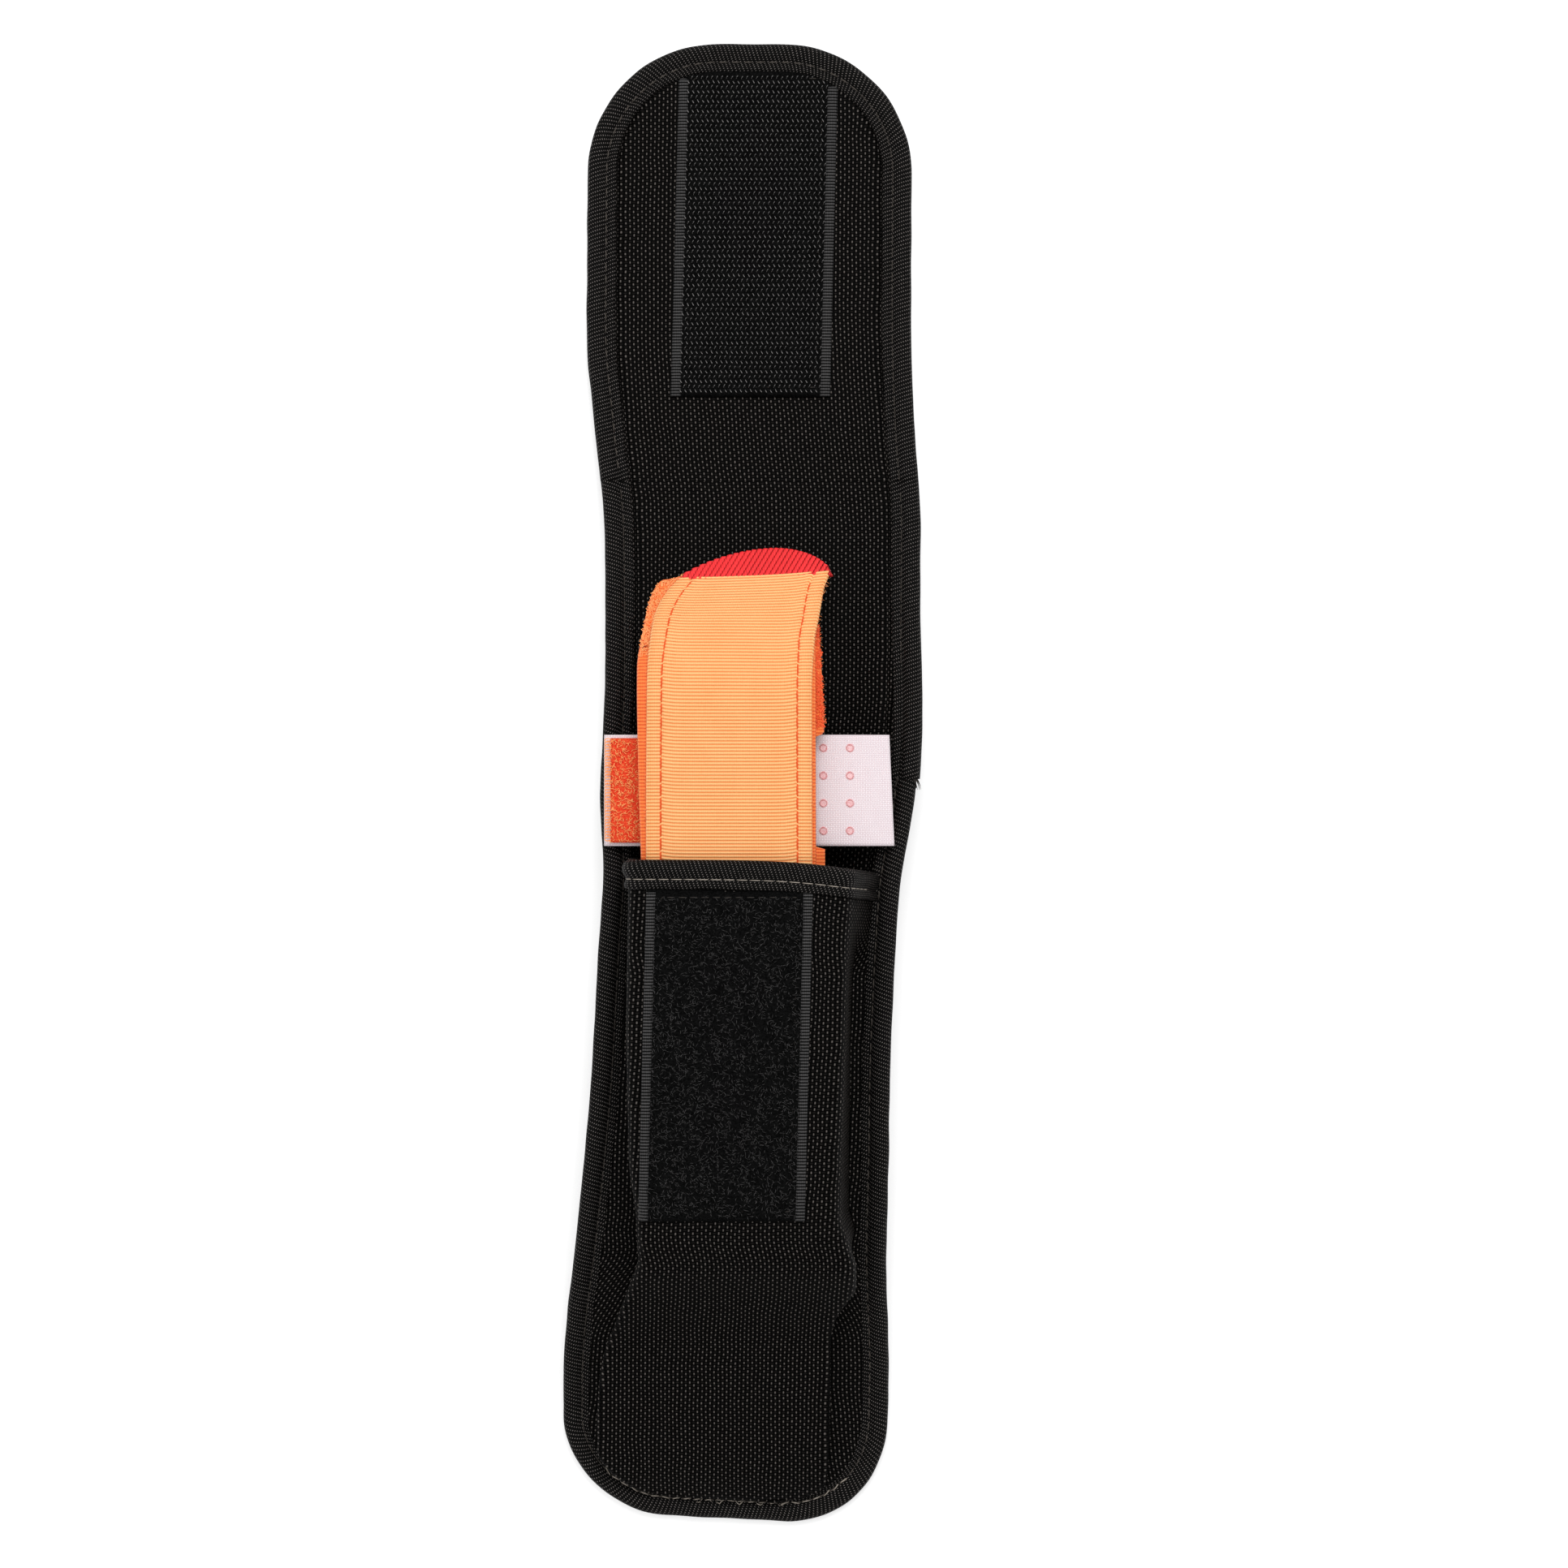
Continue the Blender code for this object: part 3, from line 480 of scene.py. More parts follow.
def ribbed(name, groove, crown, pitch, depth=0.1, sheen=0.05, gloss=0.25, side=2.0):
    """Grosgrain: ribs across the webbing, with the fine yarns that cross them. A rib's side has the
    sum of the groove's and the crown's colours divided by side."""
    g = Graph(name, 0.5, sheen, gloss)
    rib = g.power(g.wave(g.v, pitch), 0.9)
    yarn = g.wave(g.u, 0.42)
    height = g.plus(g.times(rib, 0.8), g.times(yarn, 0.2))
    uneven = g.plus(g.times(g.noise(7.0, 3.0), 0.14), g.waver(0.5, 0.35, (1, 3, 1)))
    # The colour follows the ribs' height: painted shade in the grooves and painted highlight on the crowns,
    # over the yarn's own colour.
    shade = g.plus(g.times(height, 0.85), uneven, clamp=True)
    middle = [(a + b) / side for a, b in zip(groove, crown)]
    return g.finish(g.ramp(shade, (0.05, groove), (0.5, middle), (0.95, crown)), height, depth)


def pile(name, dark, light, size, depth=0.3, gloss=0.2, mid=None):
    """Hooks or loops seen from above: fine specks over a dark ground."""
    g = Graph(name, 0.8, gloss=gloss)
    fine = g.noise(size, 3.0)
    shade = g.plus(g.times(fine, 0.8), g.times(g.noise(size * 6), 0.3))
    mid = mid or [(a + b) / 3 for a, b in zip(dark, light)]
    return g.finish(g.ramp(shade, (0.42, dark), (0.6, mid), (0.78, light)), fine, depth)


def thread(name, colour, tint, gloss=0.3, depth=0.008):
    """Sewing thread: two plies and uneven dye. A depth near nothing makes it a loose fibre."""
    g = Graph(name, 0.6, gloss=gloss)
    plies = g.wave(g.plus(g.u, g.v), 0.9)
    return g.finish(g.ramp(g.noise(2.5, 3.0), (0.3, colour), (0.7, tint)), plies, depth)


def moulded(name, dark, light):
    """Glass-filled nylon: fine spark texture and scuffs. It reads object space, as CAD nodes have
    no UV map."""
    g = Graph(name, 0.42)
    place = g.node("ShaderNodeTexCoord")
    grain, scuff = g.node("ShaderNodeTexNoise"), g.node("ShaderNodeTexNoise")
    for texture, fineness in ((grain, 2600), (scuff, 120)):
        texture.inputs["Scale"].default_value = fineness
        g.link(place.outputs["Object"], texture.inputs["Vector"])
    scuff.inputs["Detail"].default_value = 6
    colour = g.ramp(scuff.outputs["Fac"], (0.35, dark), (0.75, light))
    return g.finish(colour, grain.outputs["Fac"], 0.05)


# GAP is painted shade between black threads; the black fabrics' light colours are mostly painted highlight
# on the thread crowns, as their shaders have little gloss.
GAP = (0.0005, 0.0005, 0.0005)                  # between black threads
NYLON = plain_weave("coarse_nylon", (0.0006, 0.0005, 0.0005), (0.0072, 0.0064, 0.0059),
                    (0.125, 0.112, 0.103), THREAD_X, THREAD_Y)
TAPE = twill("binding_tape", GAP, (0.0105, 0.0098, 0.0094), (0.15, 0.135, 0.127), 0.54, 0.47, slant=0.55)
SELVEDGE = ribbed("black_selvedge", GAP, (0.078, 0.076, 0.076), 0.72, depth=0.15, side=11.0, gloss=0.02)
LOOP_GROUND = pile("black_pile_ground", (0.0006, 0.0006, 0.0006), (0.008, 0.008, 0.008), 0.5, gloss=0.04)
LOOP_YARN = thread("black_loop_yarn", (0.001, 0.001, 0.001), (0.085, 0.082, 0.082), gloss=0.05, depth=0.001)
HOOK_YARN = thread("black_hook_yarn", (0.03, 0.03, 0.031), (0.42, 0.40, 0.39), gloss=0.15)
BLACK_THREAD = thread("black_thread", (0.003, 0.003, 0.003), (0.06, 0.052, 0.046), gloss=0.08)
TAN_THREAD = thread("tan_thread", (0.10, 0.08, 0.062), (0.46, 0.41, 0.35))
BROWN_THREAD = thread("brown_thread", (0.004, 0.0035, 0.003), (0.11, 0.095, 0.082), gloss=0.1)
# The orange band's groove and crown colours carry painted shade and painted highlight over its own orange.
ORANGE = ribbed("orange_band", (0.84, 0.15, 0.01), (1.0, 0.56, 0.23), RIB_PITCH, depth=0.14, side=2.05)
# A darker copy of the orange band: painted shade on its back, the runs behind the front one and the inner
# strap.
ORANGE_PAINTED_SHADE = ribbed("orange_band_painted_shade", (0.70, 0.05, 0.008), (1.0, 0.26, 0.06), RIB_PITCH)
ORANGE_FUZZ = thread("orange_fuzz", (0.95, 0.26, 0.06), (1.0, 0.52, 0.22), depth=0.0005)
ORANGE_THREAD = thread("orange_thread", (0.72, 0.06, 0.006), (0.95, 0.17, 0.03))
# The tip's near-black groove colour is painted shade between its cords; the crowns carry its red.
RED = ribbed("red_tip", (0.03, 0.0, 0.0), (1.0, 0.035, 0.04), TIP_CORD_PITCH, depth=0.3, side=2.5,
             sheen=0.0)
RED_PILE = pile("red_hook_tape", (0.66, 0.026, 0.008), (0.95, 0.22, 0.07), 0.42, mid=(0.78, 0.07, 0.022))
RED_THREAD = thread("dark_red_thread", (0.12, 0.005, 0.004), (0.3, 0.02, 0.01))
WHITE = plain_weave("white_strap", (0.70, 0.58, 0.62), (0.90, 0.83, 0.86), (0.99, 0.96, 0.98), 0.36, 0.44,
                    depth=0.05, gloss=0.3)
WELD = pile("weld_dot", (0.78, 0.42, 0.44), (0.92, 0.72, 0.74), 0.35, depth=0.1, mid=(0.85, 0.58, 0.60))
WELD_RING = thread("weld_ring", (0.62, 0.20, 0.21), (0.82, 0.45, 0.46))
# Loops of the band's pile, darker and redder than the second run's: painted shade deep in the bundle.
SIDE_PILE_SHADED = thread("side_pile_painted_shade", (0.75, 0.05, 0.01), (1.0, 0.20, 0.06), depth=0.0005)
PLASTIC = moulded("moulded_black", (0.006, 0.006, 0.0065), (0.02, 0.02, 0.021))


# ------------------------------------------------------------ pouch strip
def across_fold(obj):
    """Fabric at one of the flap's folds, with its transform baked into its mesh."""
    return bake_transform(obj)


def side(sign, y):
    """A point of the strip's outline, as (x, y, way in): on its right (1) or its left (-1)."""
    return through(CENTRE_X, y) + sign * reach(y), y, (-sign, 0.0)


def corner(end, sign, angle):
    """A point of a rounded corner, at an angle from its side."""
    y_end, radius, up = (TIP_Y, TIP_RADIUS, 1) if end == "tip" else (BASE_Y, BASE_RADIUS, -1)
    out_x, out_y = sign * math.cos(math.radians(angle)), up * math.sin(math.radians(angle))
    x = through(CENTRE_X, y_end - up * radius) + sign * (through(HALF_WIDTH, y_end) - radius)
    return x + out_x * radius, y_end - up * radius + out_y * radius, (-out_x, -out_y)


def round_end(end):
    """The outline round an end, from its right side to its left."""
    angles = steps(0, 90, 2.4)
    right = [corner(end, 1, a) for a in angles]
    left = [corner(end, -1, a) for a in reversed(angles)]
    flat = []
    a, b = right[-1], left[0]
    for t in steps(0, 1, OUTLINE_STEP / max(abs(a[0] - b[0]), OUTLINE_STEP))[1:-1]:
        flat.append((a[0] + (b[0] - a[0]) * t, a[1] + (b[1] - a[1]) * t, a[2]))
    return right + flat + left


# Distance in from the edge and height off the strip's middle, round the front of the tape and back.
TAPE_SECTION = [(7.0, 0.9), (6.9, 1.45), (6.4, 1.85), (5.7, 1.75), (5.0, 1.4), (4.6, 1.12), (4.2, 1.38),
                (3.4, 1.9), (2.4, 2.1), (1.3, 1.95), (0.5, 1.45), (0.08, 0.7), (0.0, 0.0), (0.15, -0.7),
                (0.8, -1.3), (2.2, -1.6), (3.8, -1.5), (4.6, -1.15), (5.4, -1.4), (6.6, -1.4), (7.0, -0.9)]


def tape_frames(outline):
    """The tape's place at each point of an outline: edge point, way in, and up."""
    frames = []
    for i, (x, y, inward) in enumerate(outline):
        before, after = outline[max(i - 1, 0)], outline[min(i + 1, len(outline) - 1)]
        narrow = 1 - 0.22 * through(EDGE_LIFT, y) / FULL_LIFT
        into = Vector((inward[0], inward[1], 0)).normalized()
        edge = Vector((x, y, panel_z(x, y)))
        deep = edge + into * TAPE_WIDTH * narrow
        deep.z = panel_z(deep.x, deep.y)
        along = Vector((after[0] - before[0], after[1] - before[1], 0)).normalized()
        way = (deep - edge) / TAPE_WIDTH
        up = way.cross(along).normalized()
        if up.z < 0:
            up.negate()
        frames.append((edge, way, up))
    return frames


def tape_point(placed, inset, height):
    """A point that far in from the strip's edge and that far off its middle surface."""
    edge, way, up = placed
    return edge + way * inset + up * height


def tape(name, outline, grow):
    """Binding tape folded over the strip's edge, puffed between its stitches. grow(y) pushes it out."""
    rings = []
    run = 0.0
    frames = tape_frames(outline)
    for i, placed in enumerate(frames):
        if i:
            run += (placed[0] - frames[i - 1][0]).length
        puff = 1 + 0.06 * ripple(run, 0, 9.0, 3.1)
        pinch = 0.5 + 0.5 * math.cos(2 * math.pi * run / STITCH_PITCH)
        out = grow(placed[0].y)
        ring = []
        for inset, height in TAPE_SECTION:
            near_seam = math.exp(-((inset - STITCH_INSET) / 0.9)**2)
            h = height * puff * (1 + out * 0.2) - math.copysign(0.22 * pinch * near_seam, height)
            inset = inset - out + 0.16 * ripple(run, inset, 7.0, 8.0)
            ring.append(settle(tape_point(placed, inset, h)))
        rings.append(ring)
    return sweep(name, rings, TAPE, closed=True, caps=True)


def seam_on_tape(frames, height=SEAM_HEIGHT):
    return [settle(tape_point(placed, STITCH_INSET, height)) for placed in frames]


def outline_side(sign, low, high):
    return [side(sign, y) for y in steps(low, high, OUTLINE_STEP)]


def joined(*outlines):
    """Outlines end to end, without the points they share."""
    points = list(outlines[0])
    for outline in outlines[1:]:
        points += outline[1:]
    return points


def outward_at_end(y):
    """The upper tape lies over the lower one at its end, and on the panel's edge further up."""
    return 0.9 * (1 - ease((y - TAPE_JOINT_Y - 5) / 35))


def make_tape():
    """The binding round the strip, in three lengths, with its seam on both sides."""
    base, tip = BASE_Y + BASE_RADIUS, TIP_Y - TIP_RADIUS
    lower = joined(outline_side(1, base, TAPE_JOINT_Y + 5)[::-1], round_end("base"),
                   outline_side(-1, base, SPLIT_Y))
    upper = outline_side(1, TAPE_JOINT_Y - 1.5, SPLIT_Y)
    front = joined(outline_side(1, SPLIT_Y, tip), round_end("tip"), outline_side(-1, SPLIT_Y, tip)[::-1])
    made = [("lower_tape", lower, lambda y: 0.0, ("lower_binding", "bridge_binding_left")),
            ("upper_tape_end", upper, outward_at_end, ("upper_binding_end", "bridge_binding_right")),
            ("flap_tape", front, lambda y: 0.0, ("flap_binding",))]
    for name, outline, grow, nodes in made:
        piece = tape(name, outline, grow)
        points = seam_on_tape(tape_frames(outline))
        seam = tubes(name + "_seam", stitch_lines(points, UP, radius=0.17), BROWN_THREAD)
        behind = [p - UP * BACK_SEAM_DROP for p in points]
        under = tubes(name + "_back_seam", stitch_lines(behind, -UP, radius=0.17), BLACK_THREAD)
        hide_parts(*nodes)
        for item in (piece, seam, under):
            if name == "flap_tape":
                across_fold(item)
            else:
                across_fold(item)
    make_frayed_end(upper)
    make_loose_stitches(lower)


def make_frayed_end(upper):
    """Cut yarns where the upper tape ends over the lower one."""
    placed = tape_frames(upper)[0]
    count = 46
    lines = []
    for n in range(count):
        inset = -0.6 + 7.4 * n / (count - 1)
        outer = inset < 1.2
        start = tape_point(placed, inset, 1.3 + 0.5 * math.sin(n * 0.5) - (0.9 if inset < 0.6 else 0))
        way = Vector((0.3 * (rng.random() - 0.5) + (0.5 if outer else 0), -1.0, -0.25 - 0.3 * rng.random()))
        length = 0.5 + 0.9 * rng.random() + (1.3 if outer else 0)
        bend = Vector((rng.random() - 0.5 - (0.8 if outer else 0), 0, rng.random() - 0.5)) * 0.6
        lines.append([(start + way * length * t + bend * t * t, 0.16 * (1.2 - t))
                      for t in (-0.3, 0.2, 0.6, 1.0)])
    belongs("pouch", "binding", tubes("frayed_tape_end", lines, BLACK_THREAD))


def make_loose_stitches(lower):
    """Light, uneven stitches where the seam was sewn twice across the lower end."""
    frames = [f for f in tape_frames(lower) if f[0].y < BASE_Y + 9]
    points = seam_on_tape(frames, 1.22)
    lines = stitch_lines(points, UP, pitch=2.6, share=0.8, radius=0.17, wander=1.6)
    curly = []
    for n in range(5):
        middle = points[int(len(points) * (0.36 + 0.05 * n))]
        line = []
        for t in spread(0, 1, 9):
            x = 4 * (t - 0.5) + rng.random() * 0.3
            curl = Vector((x, math.sin(t * 7 + n) * 0.7, 0.3 + 0.35 * math.sin(t * 5)))
            line.append((middle + curl, 0.13))
        curly.append(line)
    belongs("pouch", "binding", tubes("lower_end_stitches", lines + curly, TAN_THREAD))


def panel_rows(low, high):
    """The panel between the tapes; it dips where the tape presses on it."""
    insets = steps(0, 6, 0.6)
    rows = []
    for y in steps(low, high, PANEL_ROW):
        half, middle = reach(y, PANEL_INSET), through(CENTRE_X, y)
        offsets = [-half + inset for inset in insets] + spread(-half + 7.5, half - 7.5, 36)
        offsets += [half - inset for inset in reversed(insets)]
        row = []
        for offset in offsets:
            x = middle + max(min(offset, half), -half)
            inset = half - abs(offset)
            wave = 0.35 * ripple(x, y, 26, 1.0) + 0.12 * ripple(x, y, 9, 5.0)
            dip = 0.7 * math.exp(-((inset - 3.2) / 0.9)**2)
            row.append(settle((x, y, panel_z(x, y) + wave * ease(inset / 12) - dip)))
        rows.append(row)
    return rows


def make_panels():
    """The strip's fabric, split between the flap's two folds."""
    low, high = BASE_Y + PANEL_INSET, TIP_Y - PANEL_INSET
    lower = sweep("pouch_panel", panel_rows(low, SPLIT_Y), NYLON, thickness=PANEL_THICK, rim=False)
    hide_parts("back_panel", "flap_bridge_panel")
    across_fold(lower)
    upper = sweep("flap_front_panel", panel_rows(SPLIT_Y, high), NYLON, thickness=PANEL_THICK, rim=False)
    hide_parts("flap_panel")
    across_fold(upper)


# ------------------------------------------------------------ pocket
def mouth_drop(x):
    """How far the mouth's edge drops towards its right end."""
    return -MOUTH_DROP * min(max((x + 26) / 58.4, 0), 1)**4.2


def side_wall(seam, top, t, step, undercut):
    """From a side's seam to the face's fold: a slope (step 0), or flat and then up to the face (1)."""
    out = math.copysign(1.0, seam.x - top.x)
    foot_x = top.x - out * undercut
    flat, rise = min(t / STEP_SHARE, 1.0), max(t - STEP_SHARE, 0.0) / (1 - STEP_SHARE)
    x = seam.x + (foot_x - seam.x) * flat + (top.x - foot_x) * rise
    stepped = Vector((x, seam.y, seam.z + (top.z - seam.z) * rise))
    return seam.lerp(top, t).lerp(stepped, step)


def pocket_profile(y, count_side=18, count_face=33):
    """Points across the pocket at y, from its left seam to its right one."""
    middle = through(CENTRE_X, y)
    seam = min(through(SIDE_REACH, y), reach(y, 5.6)) - 0.7
    left = max(through(FACE_LEFT, y), middle - seam + 0.4)
    right = min(through(FACE_RIGHT, y), middle + seam - 1.5)
    size = FOLD_SIZE - 2.2 * ease((-112 - y) / 16)

    def point(x, z):
        return Vector((x, y, max(z, panel_z(x, y) + PANEL_THICK / 2 + 0.8)))

    def climb(seam_x, top, step, undercut):
        """A side's points from its seam up, and the one where its fold starts."""
        foot = point(seam_x, 0)
        rounded = min(size / (top - foot).length, 0.28) * (1 - 0.6 * step)
        points = [side_wall(foot, top, t, step, undercut) for t in spread(0, 1 - rounded, count_side)]
        return points[:-1], points[-1]

    face_z = through(FACE_Z, y)
    top_left, top_right = point(left, face_z), point(right, face_z)
    inward = (top_right - top_left).normalized() * size
    left_side, left_fold = climb(middle - seam, top_left, FULL_STEP, LEFT_UNDERCUT)
    right_step = FULL_STEP * ease((-29 - y) / 16)
    right_side, right_fold = climb(middle + seam, top_right, right_step, through(RIGHT_UNDERCUT, y))
    crown = Vector((0, 0, 0.9 * ease((y + 128) / 20)))
    face = [(top_left + inward).lerp(top_right - inward, t) + crown * math.sin(math.pi * t)
            for t in spread(0, 1, count_face)[1:-1]]
    points = left_side + bezier(left_fold, top_left, top_left + inward, 7) + face
    points += bezier(top_right - inward, top_right, right_fold, 7) + right_side[::-1]
    return [point(p.x, p.z) for p in points]


def crumple(point):
    """Slack fabric: soft folds round the bundle's foot and hollows in the sides."""
    x, y, z = point
    lift = 0.0
    foot = math.exp(-((y + 122) / 9)**2)
    lift += foot * (0.9 * ripple(x, y, 12, 2.0))
    slack = ease((-118 - y) / 20)
    lift += slack * (0.9 * ripple(x, y * 0.5, 13, 4.0) + 0.25 * ripple(x, y, 5, 6.0))
    body = ease((y + 125) / 15)
    lift += body * 0.35 * ripple(x, y * 0.4, 14, 7.0)
    floor = panel_z(x, y) + PANEL_THICK / 2 + 0.7
    return Vector((x, y, max(z + lift, floor)))


def make_pocket():
    rows = []
    for y in steps(POCKET_FOOT_Y, POCKET_TOP_Y, POCKET_ROW):
        lean = max(0.0, 1 - (POCKET_TOP_Y - y) / 30)
        row = []
        for p in pocket_profile(y):
            p = crumple(p)
            row.append(settle((p.x, p.y + mouth_drop(p.x) * lean, p.z)))
        rows.append(row)
    shell = sweep("pocket_fabric", rows, NYLON, thickness=POCKET_CLOTH)
    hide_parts("pocket_shell")
    belongs("pouch", "nylon", shell)
    make_mouth()
    make_pocket_pad()


# Distance down from the mouth's edge and height off the pocket's middle surface.
MOUTH_SECTION = [(0.0, 0.0), (0.1, 0.8), (0.7, 1.6), (1.8, 2.1), (3.0, 1.95), (4.0, 1.4), (4.5, 1.15),
                 (5.0, 1.4), (5.9, 1.7), (6.6, 1.45), (6.8, 0.7), (6.8, 0.0), (6.4, -0.9), (4.4, -1.0),
                 (2.0, -1.2), (0.5, -0.9)]


def make_mouth():
    """Tape round the mouth's edge; its right part dips into the side."""
    profile = pocket_profile(POCKET_TOP_Y)
    rings, seam = [], []
    for i, p in enumerate(profile):
        before, after = profile[max(i - 1, 0)], profile[min(i + 1, len(profile) - 1)]
        along = (after - before).normalized()
        up = Vector((-along.z, 0, along.x))
        edge_y = MOUTH_TOP_Y + mouth_drop(p.x)
        puff = 1 + 0.1 * ripple(i, 0, 5, 2.2)
        ring = []
        for down, height in MOUTH_SECTION:
            y = edge_y - down * (1 + 0.04 * ripple(i, down, 6, 1.0))
            ring.append(Vector((p.x, y, p.z)) + up * height * puff)
        rings.append(ring)
        seam.append(Vector((p.x, edge_y - 4.5, p.z)) + up * 1.2)
    piece = sweep("mouth_tape", rings, TAPE, closed=True, caps=True)
    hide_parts("mouth_binding")
    front = [p for p in seam if p.z > 22]
    stitches = tubes("mouth_seam", stitch_lines(front, UP, share=0.85, radius=0.13), TAN_THREAD)
    belongs("pouch", "binding", piece, stitches)


# Distance in from a selvedge's edge, as a share of its width, and height over the fabric.
SELVEDGE_SECTION = [(-0.02, 0.2), (0.0, 0.62), (0.2, 0.78), (0.5, 0.8), (0.8, 0.82), (1.0, 0.6)]


# tucked(x, y) is 1 where binding covers the pad.
Pad = collections.namedtuple("Pad", "name nodes body low high selvedge middle top tucked")


def pad_ground(pad):
    """The pad's ground, which dips along its seam."""
    half, selvedge = PAD_HALF, pad.selvedge
    xs = [-half, -half + 0.3] + steps(-half + 0.8, -half + selvedge, 0.6)
    xs += steps(-half + selvedge + 0.5, half - selvedge - 0.5, 1.0)
    xs += steps(half - selvedge, half - 0.8, 0.6) + [half - 0.3, half]
    rows = []
    for y in steps(pad.low, pad.high, PAD_ROW):
        from_end = min(y - pad.low, pad.high - y)
        row = []
        for offset in xs:
            x, from_middle = pad.middle(y) + offset, abs(offset)
            h = 0.55 if from_middle > half - selvedge - 0.3 else 0.95
            h = min(h, 0.15 + 1.6 * (half - from_middle), 0.3 + 1.2 * from_end)
            h -= 0.28 * math.exp(-((from_middle - half + selvedge + 1.2) / 0.45)**2)
            h -= 0.25 * math.exp(-((from_end - 2.2) / 0.5)**2)
            row.append(Vector((x, y, pad.top(x, y) + h * (1 - pad.tucked(x, y)))))
        rows.append(row)
    ground = sweep(pad.name + "_ground", rows, LOOP_GROUND, thickness=0.3)
    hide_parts(*pad.nodes)
    return ground


def pad_selvedge(pad, sign, word):
    """The ribbed strip along one of the pad's sides."""
    rows = []
    for y in steps(pad.low, pad.high, PAD_ROW):
        edge = pad.middle(y) + sign * PAD_HALF
        shown = 1 - pad.tucked(edge - sign, y)
        row = []
        for share, h in SELVEDGE_SECTION:
            x = edge - sign * share * pad.selvedge
            row.append(Vector((x, y, pad.top(x, y) + h * shown)))
        rows.append(row)
    return sweep(f"{pad.name}_{word}_selvedge", rows, SELVEDGE, thickness=0.15)


def pad_seam(pad):
    """Stitches round the pad, just inside its selvedges."""
    inner = PAD_HALF - pad.selvedge - 1.2
    ys = steps(pad.low + 2.2, pad.high - 2.2, 4)
    places = [(pad.middle(y) - inner, y) for y in ys] + [(pad.middle(y) + inner, y) for y in reversed(ys)]
    corners = [Vector((x, y, pad.top(x, y) + 0.75)) for x, y in places + places[:1]]
    return tubes(pad.name + "_seam", stitch_lines(corners, UP, 2.6, 0.8, 0.16), BLACK_THREAD)


def make_pad(pad):
    """A sewn pad without its pile."""
    pieces = [pad_ground(pad), pad_selvedge(pad, -1, "left"), pad_selvedge(pad, 1, "right"), pad_seam(pad)]
    belongs(pad.body, "pile", *pieces)


def make_pocket_pad():
    low, high = -100.6, -24.4

    def middle(y):
        return -4.3 + 1.9 * (y - low) / (high - low)

    def top(x, y):
        """The pocket's face under the pad, and the folds at its two sides."""
        inside = min(x - through(FACE_LEFT, y), through(FACE_RIGHT, y) - x)
        turned = 1 - math.sqrt(min(max(inside, 0.0) / FOLD_SIZE, 1.0))
        return through(FACE_Z, y) + 1.35 - FOLD_SIZE * turned**2

    def tucked(x, y):
        return ease((y + 26.4) / 0.8)

    pad = Pad("pocket_pad", ("pocket_loop_pad",), "pouch", low, high, 2.1, middle, top, tucked)
    make_pad(pad)
    reach_x = PAD_HALF - pad.selvedge + 0.2
    lines = []
    for n in range(POCKET_LOOPS):
        offset = (rng.random() * 2 - 1) * reach_x
        y = low + 0.8 + rng.random() * (high - low - 3.0)
        x = middle(y) + offset
        base = Vector((x, y, top(x, y) + 0.8))
        lines.append(loop_fibre(base, 0.4 + 0.5 * rng.random(), 0.35 + 0.5 * rng.random(), 0.07))
    belongs("pouch", "pile", tubes("pocket_pad_loops", lines, LOOP_YARN, sides=3))


def hook(base, slant):
    """One hook: up, over and down again."""
    way = Vector((slant, 0.45 + 0.2 * rng.random(), 0))
    return [(base, 0.11), (base + UP * 0.5, 0.11), (base + way * 0.4 + UP * 0.78, 0.11),
            (base + way + UP * 0.6, 0.09)]


def make_flap_pad():
    low, high = 91.9, 170.6

    def middle(y):
        return 1.95 + 1.95 * (y - low) / (high - low)

    def top(x, y):
        return through(PANEL_Z, y) + PANEL_THICK / 2

    def tucked(x, y):
        """The binding round the flap's tip covers the pad's upper corners."""
        corner_x = through(HALF_WIDTH, y) - TIP_RADIUS
        out_x = max(abs(x - through(CENTRE_X, y)) - corner_x, 0)
        out_y = max(y - TIP_Y + TIP_RADIUS, 0)
        return ease((math.hypot(out_x, out_y) - TIP_RADIUS + TAPE_WIDTH + 0.4) / 0.6)

    pad = Pad("flap_pad", ("flap_hook_pad",), "flap_front", low, high, 2.3, middle, top, tucked)
    make_pad(pad)
    inner = PAD_HALF - pad.selvedge
    lines = []
    for i in range(int((high - low - 1.6) / HOOK_ROW)):
        y = low + 1.0 + i * HOOK_ROW
        shift, slant = (0.5, 0.35) if i % 2 else (0.1, -0.35)
        for j in range(int(2 * inner / HOOK_COLUMN) + 1):
            offset = -inner + (j + shift) * HOOK_COLUMN
            x = middle(y) + offset
            if offset > inner or tucked(x, y) > 0:
                continue
            base = Vector((x, y + 0.15 * (rng.random() - 0.5), top(x, y) + 0.8))
            lines.append(hook(base, slant))
    belongs("flap_front", "pile", tubes("flap_pad_hooks", lines, HOOK_YARN, sides=4))


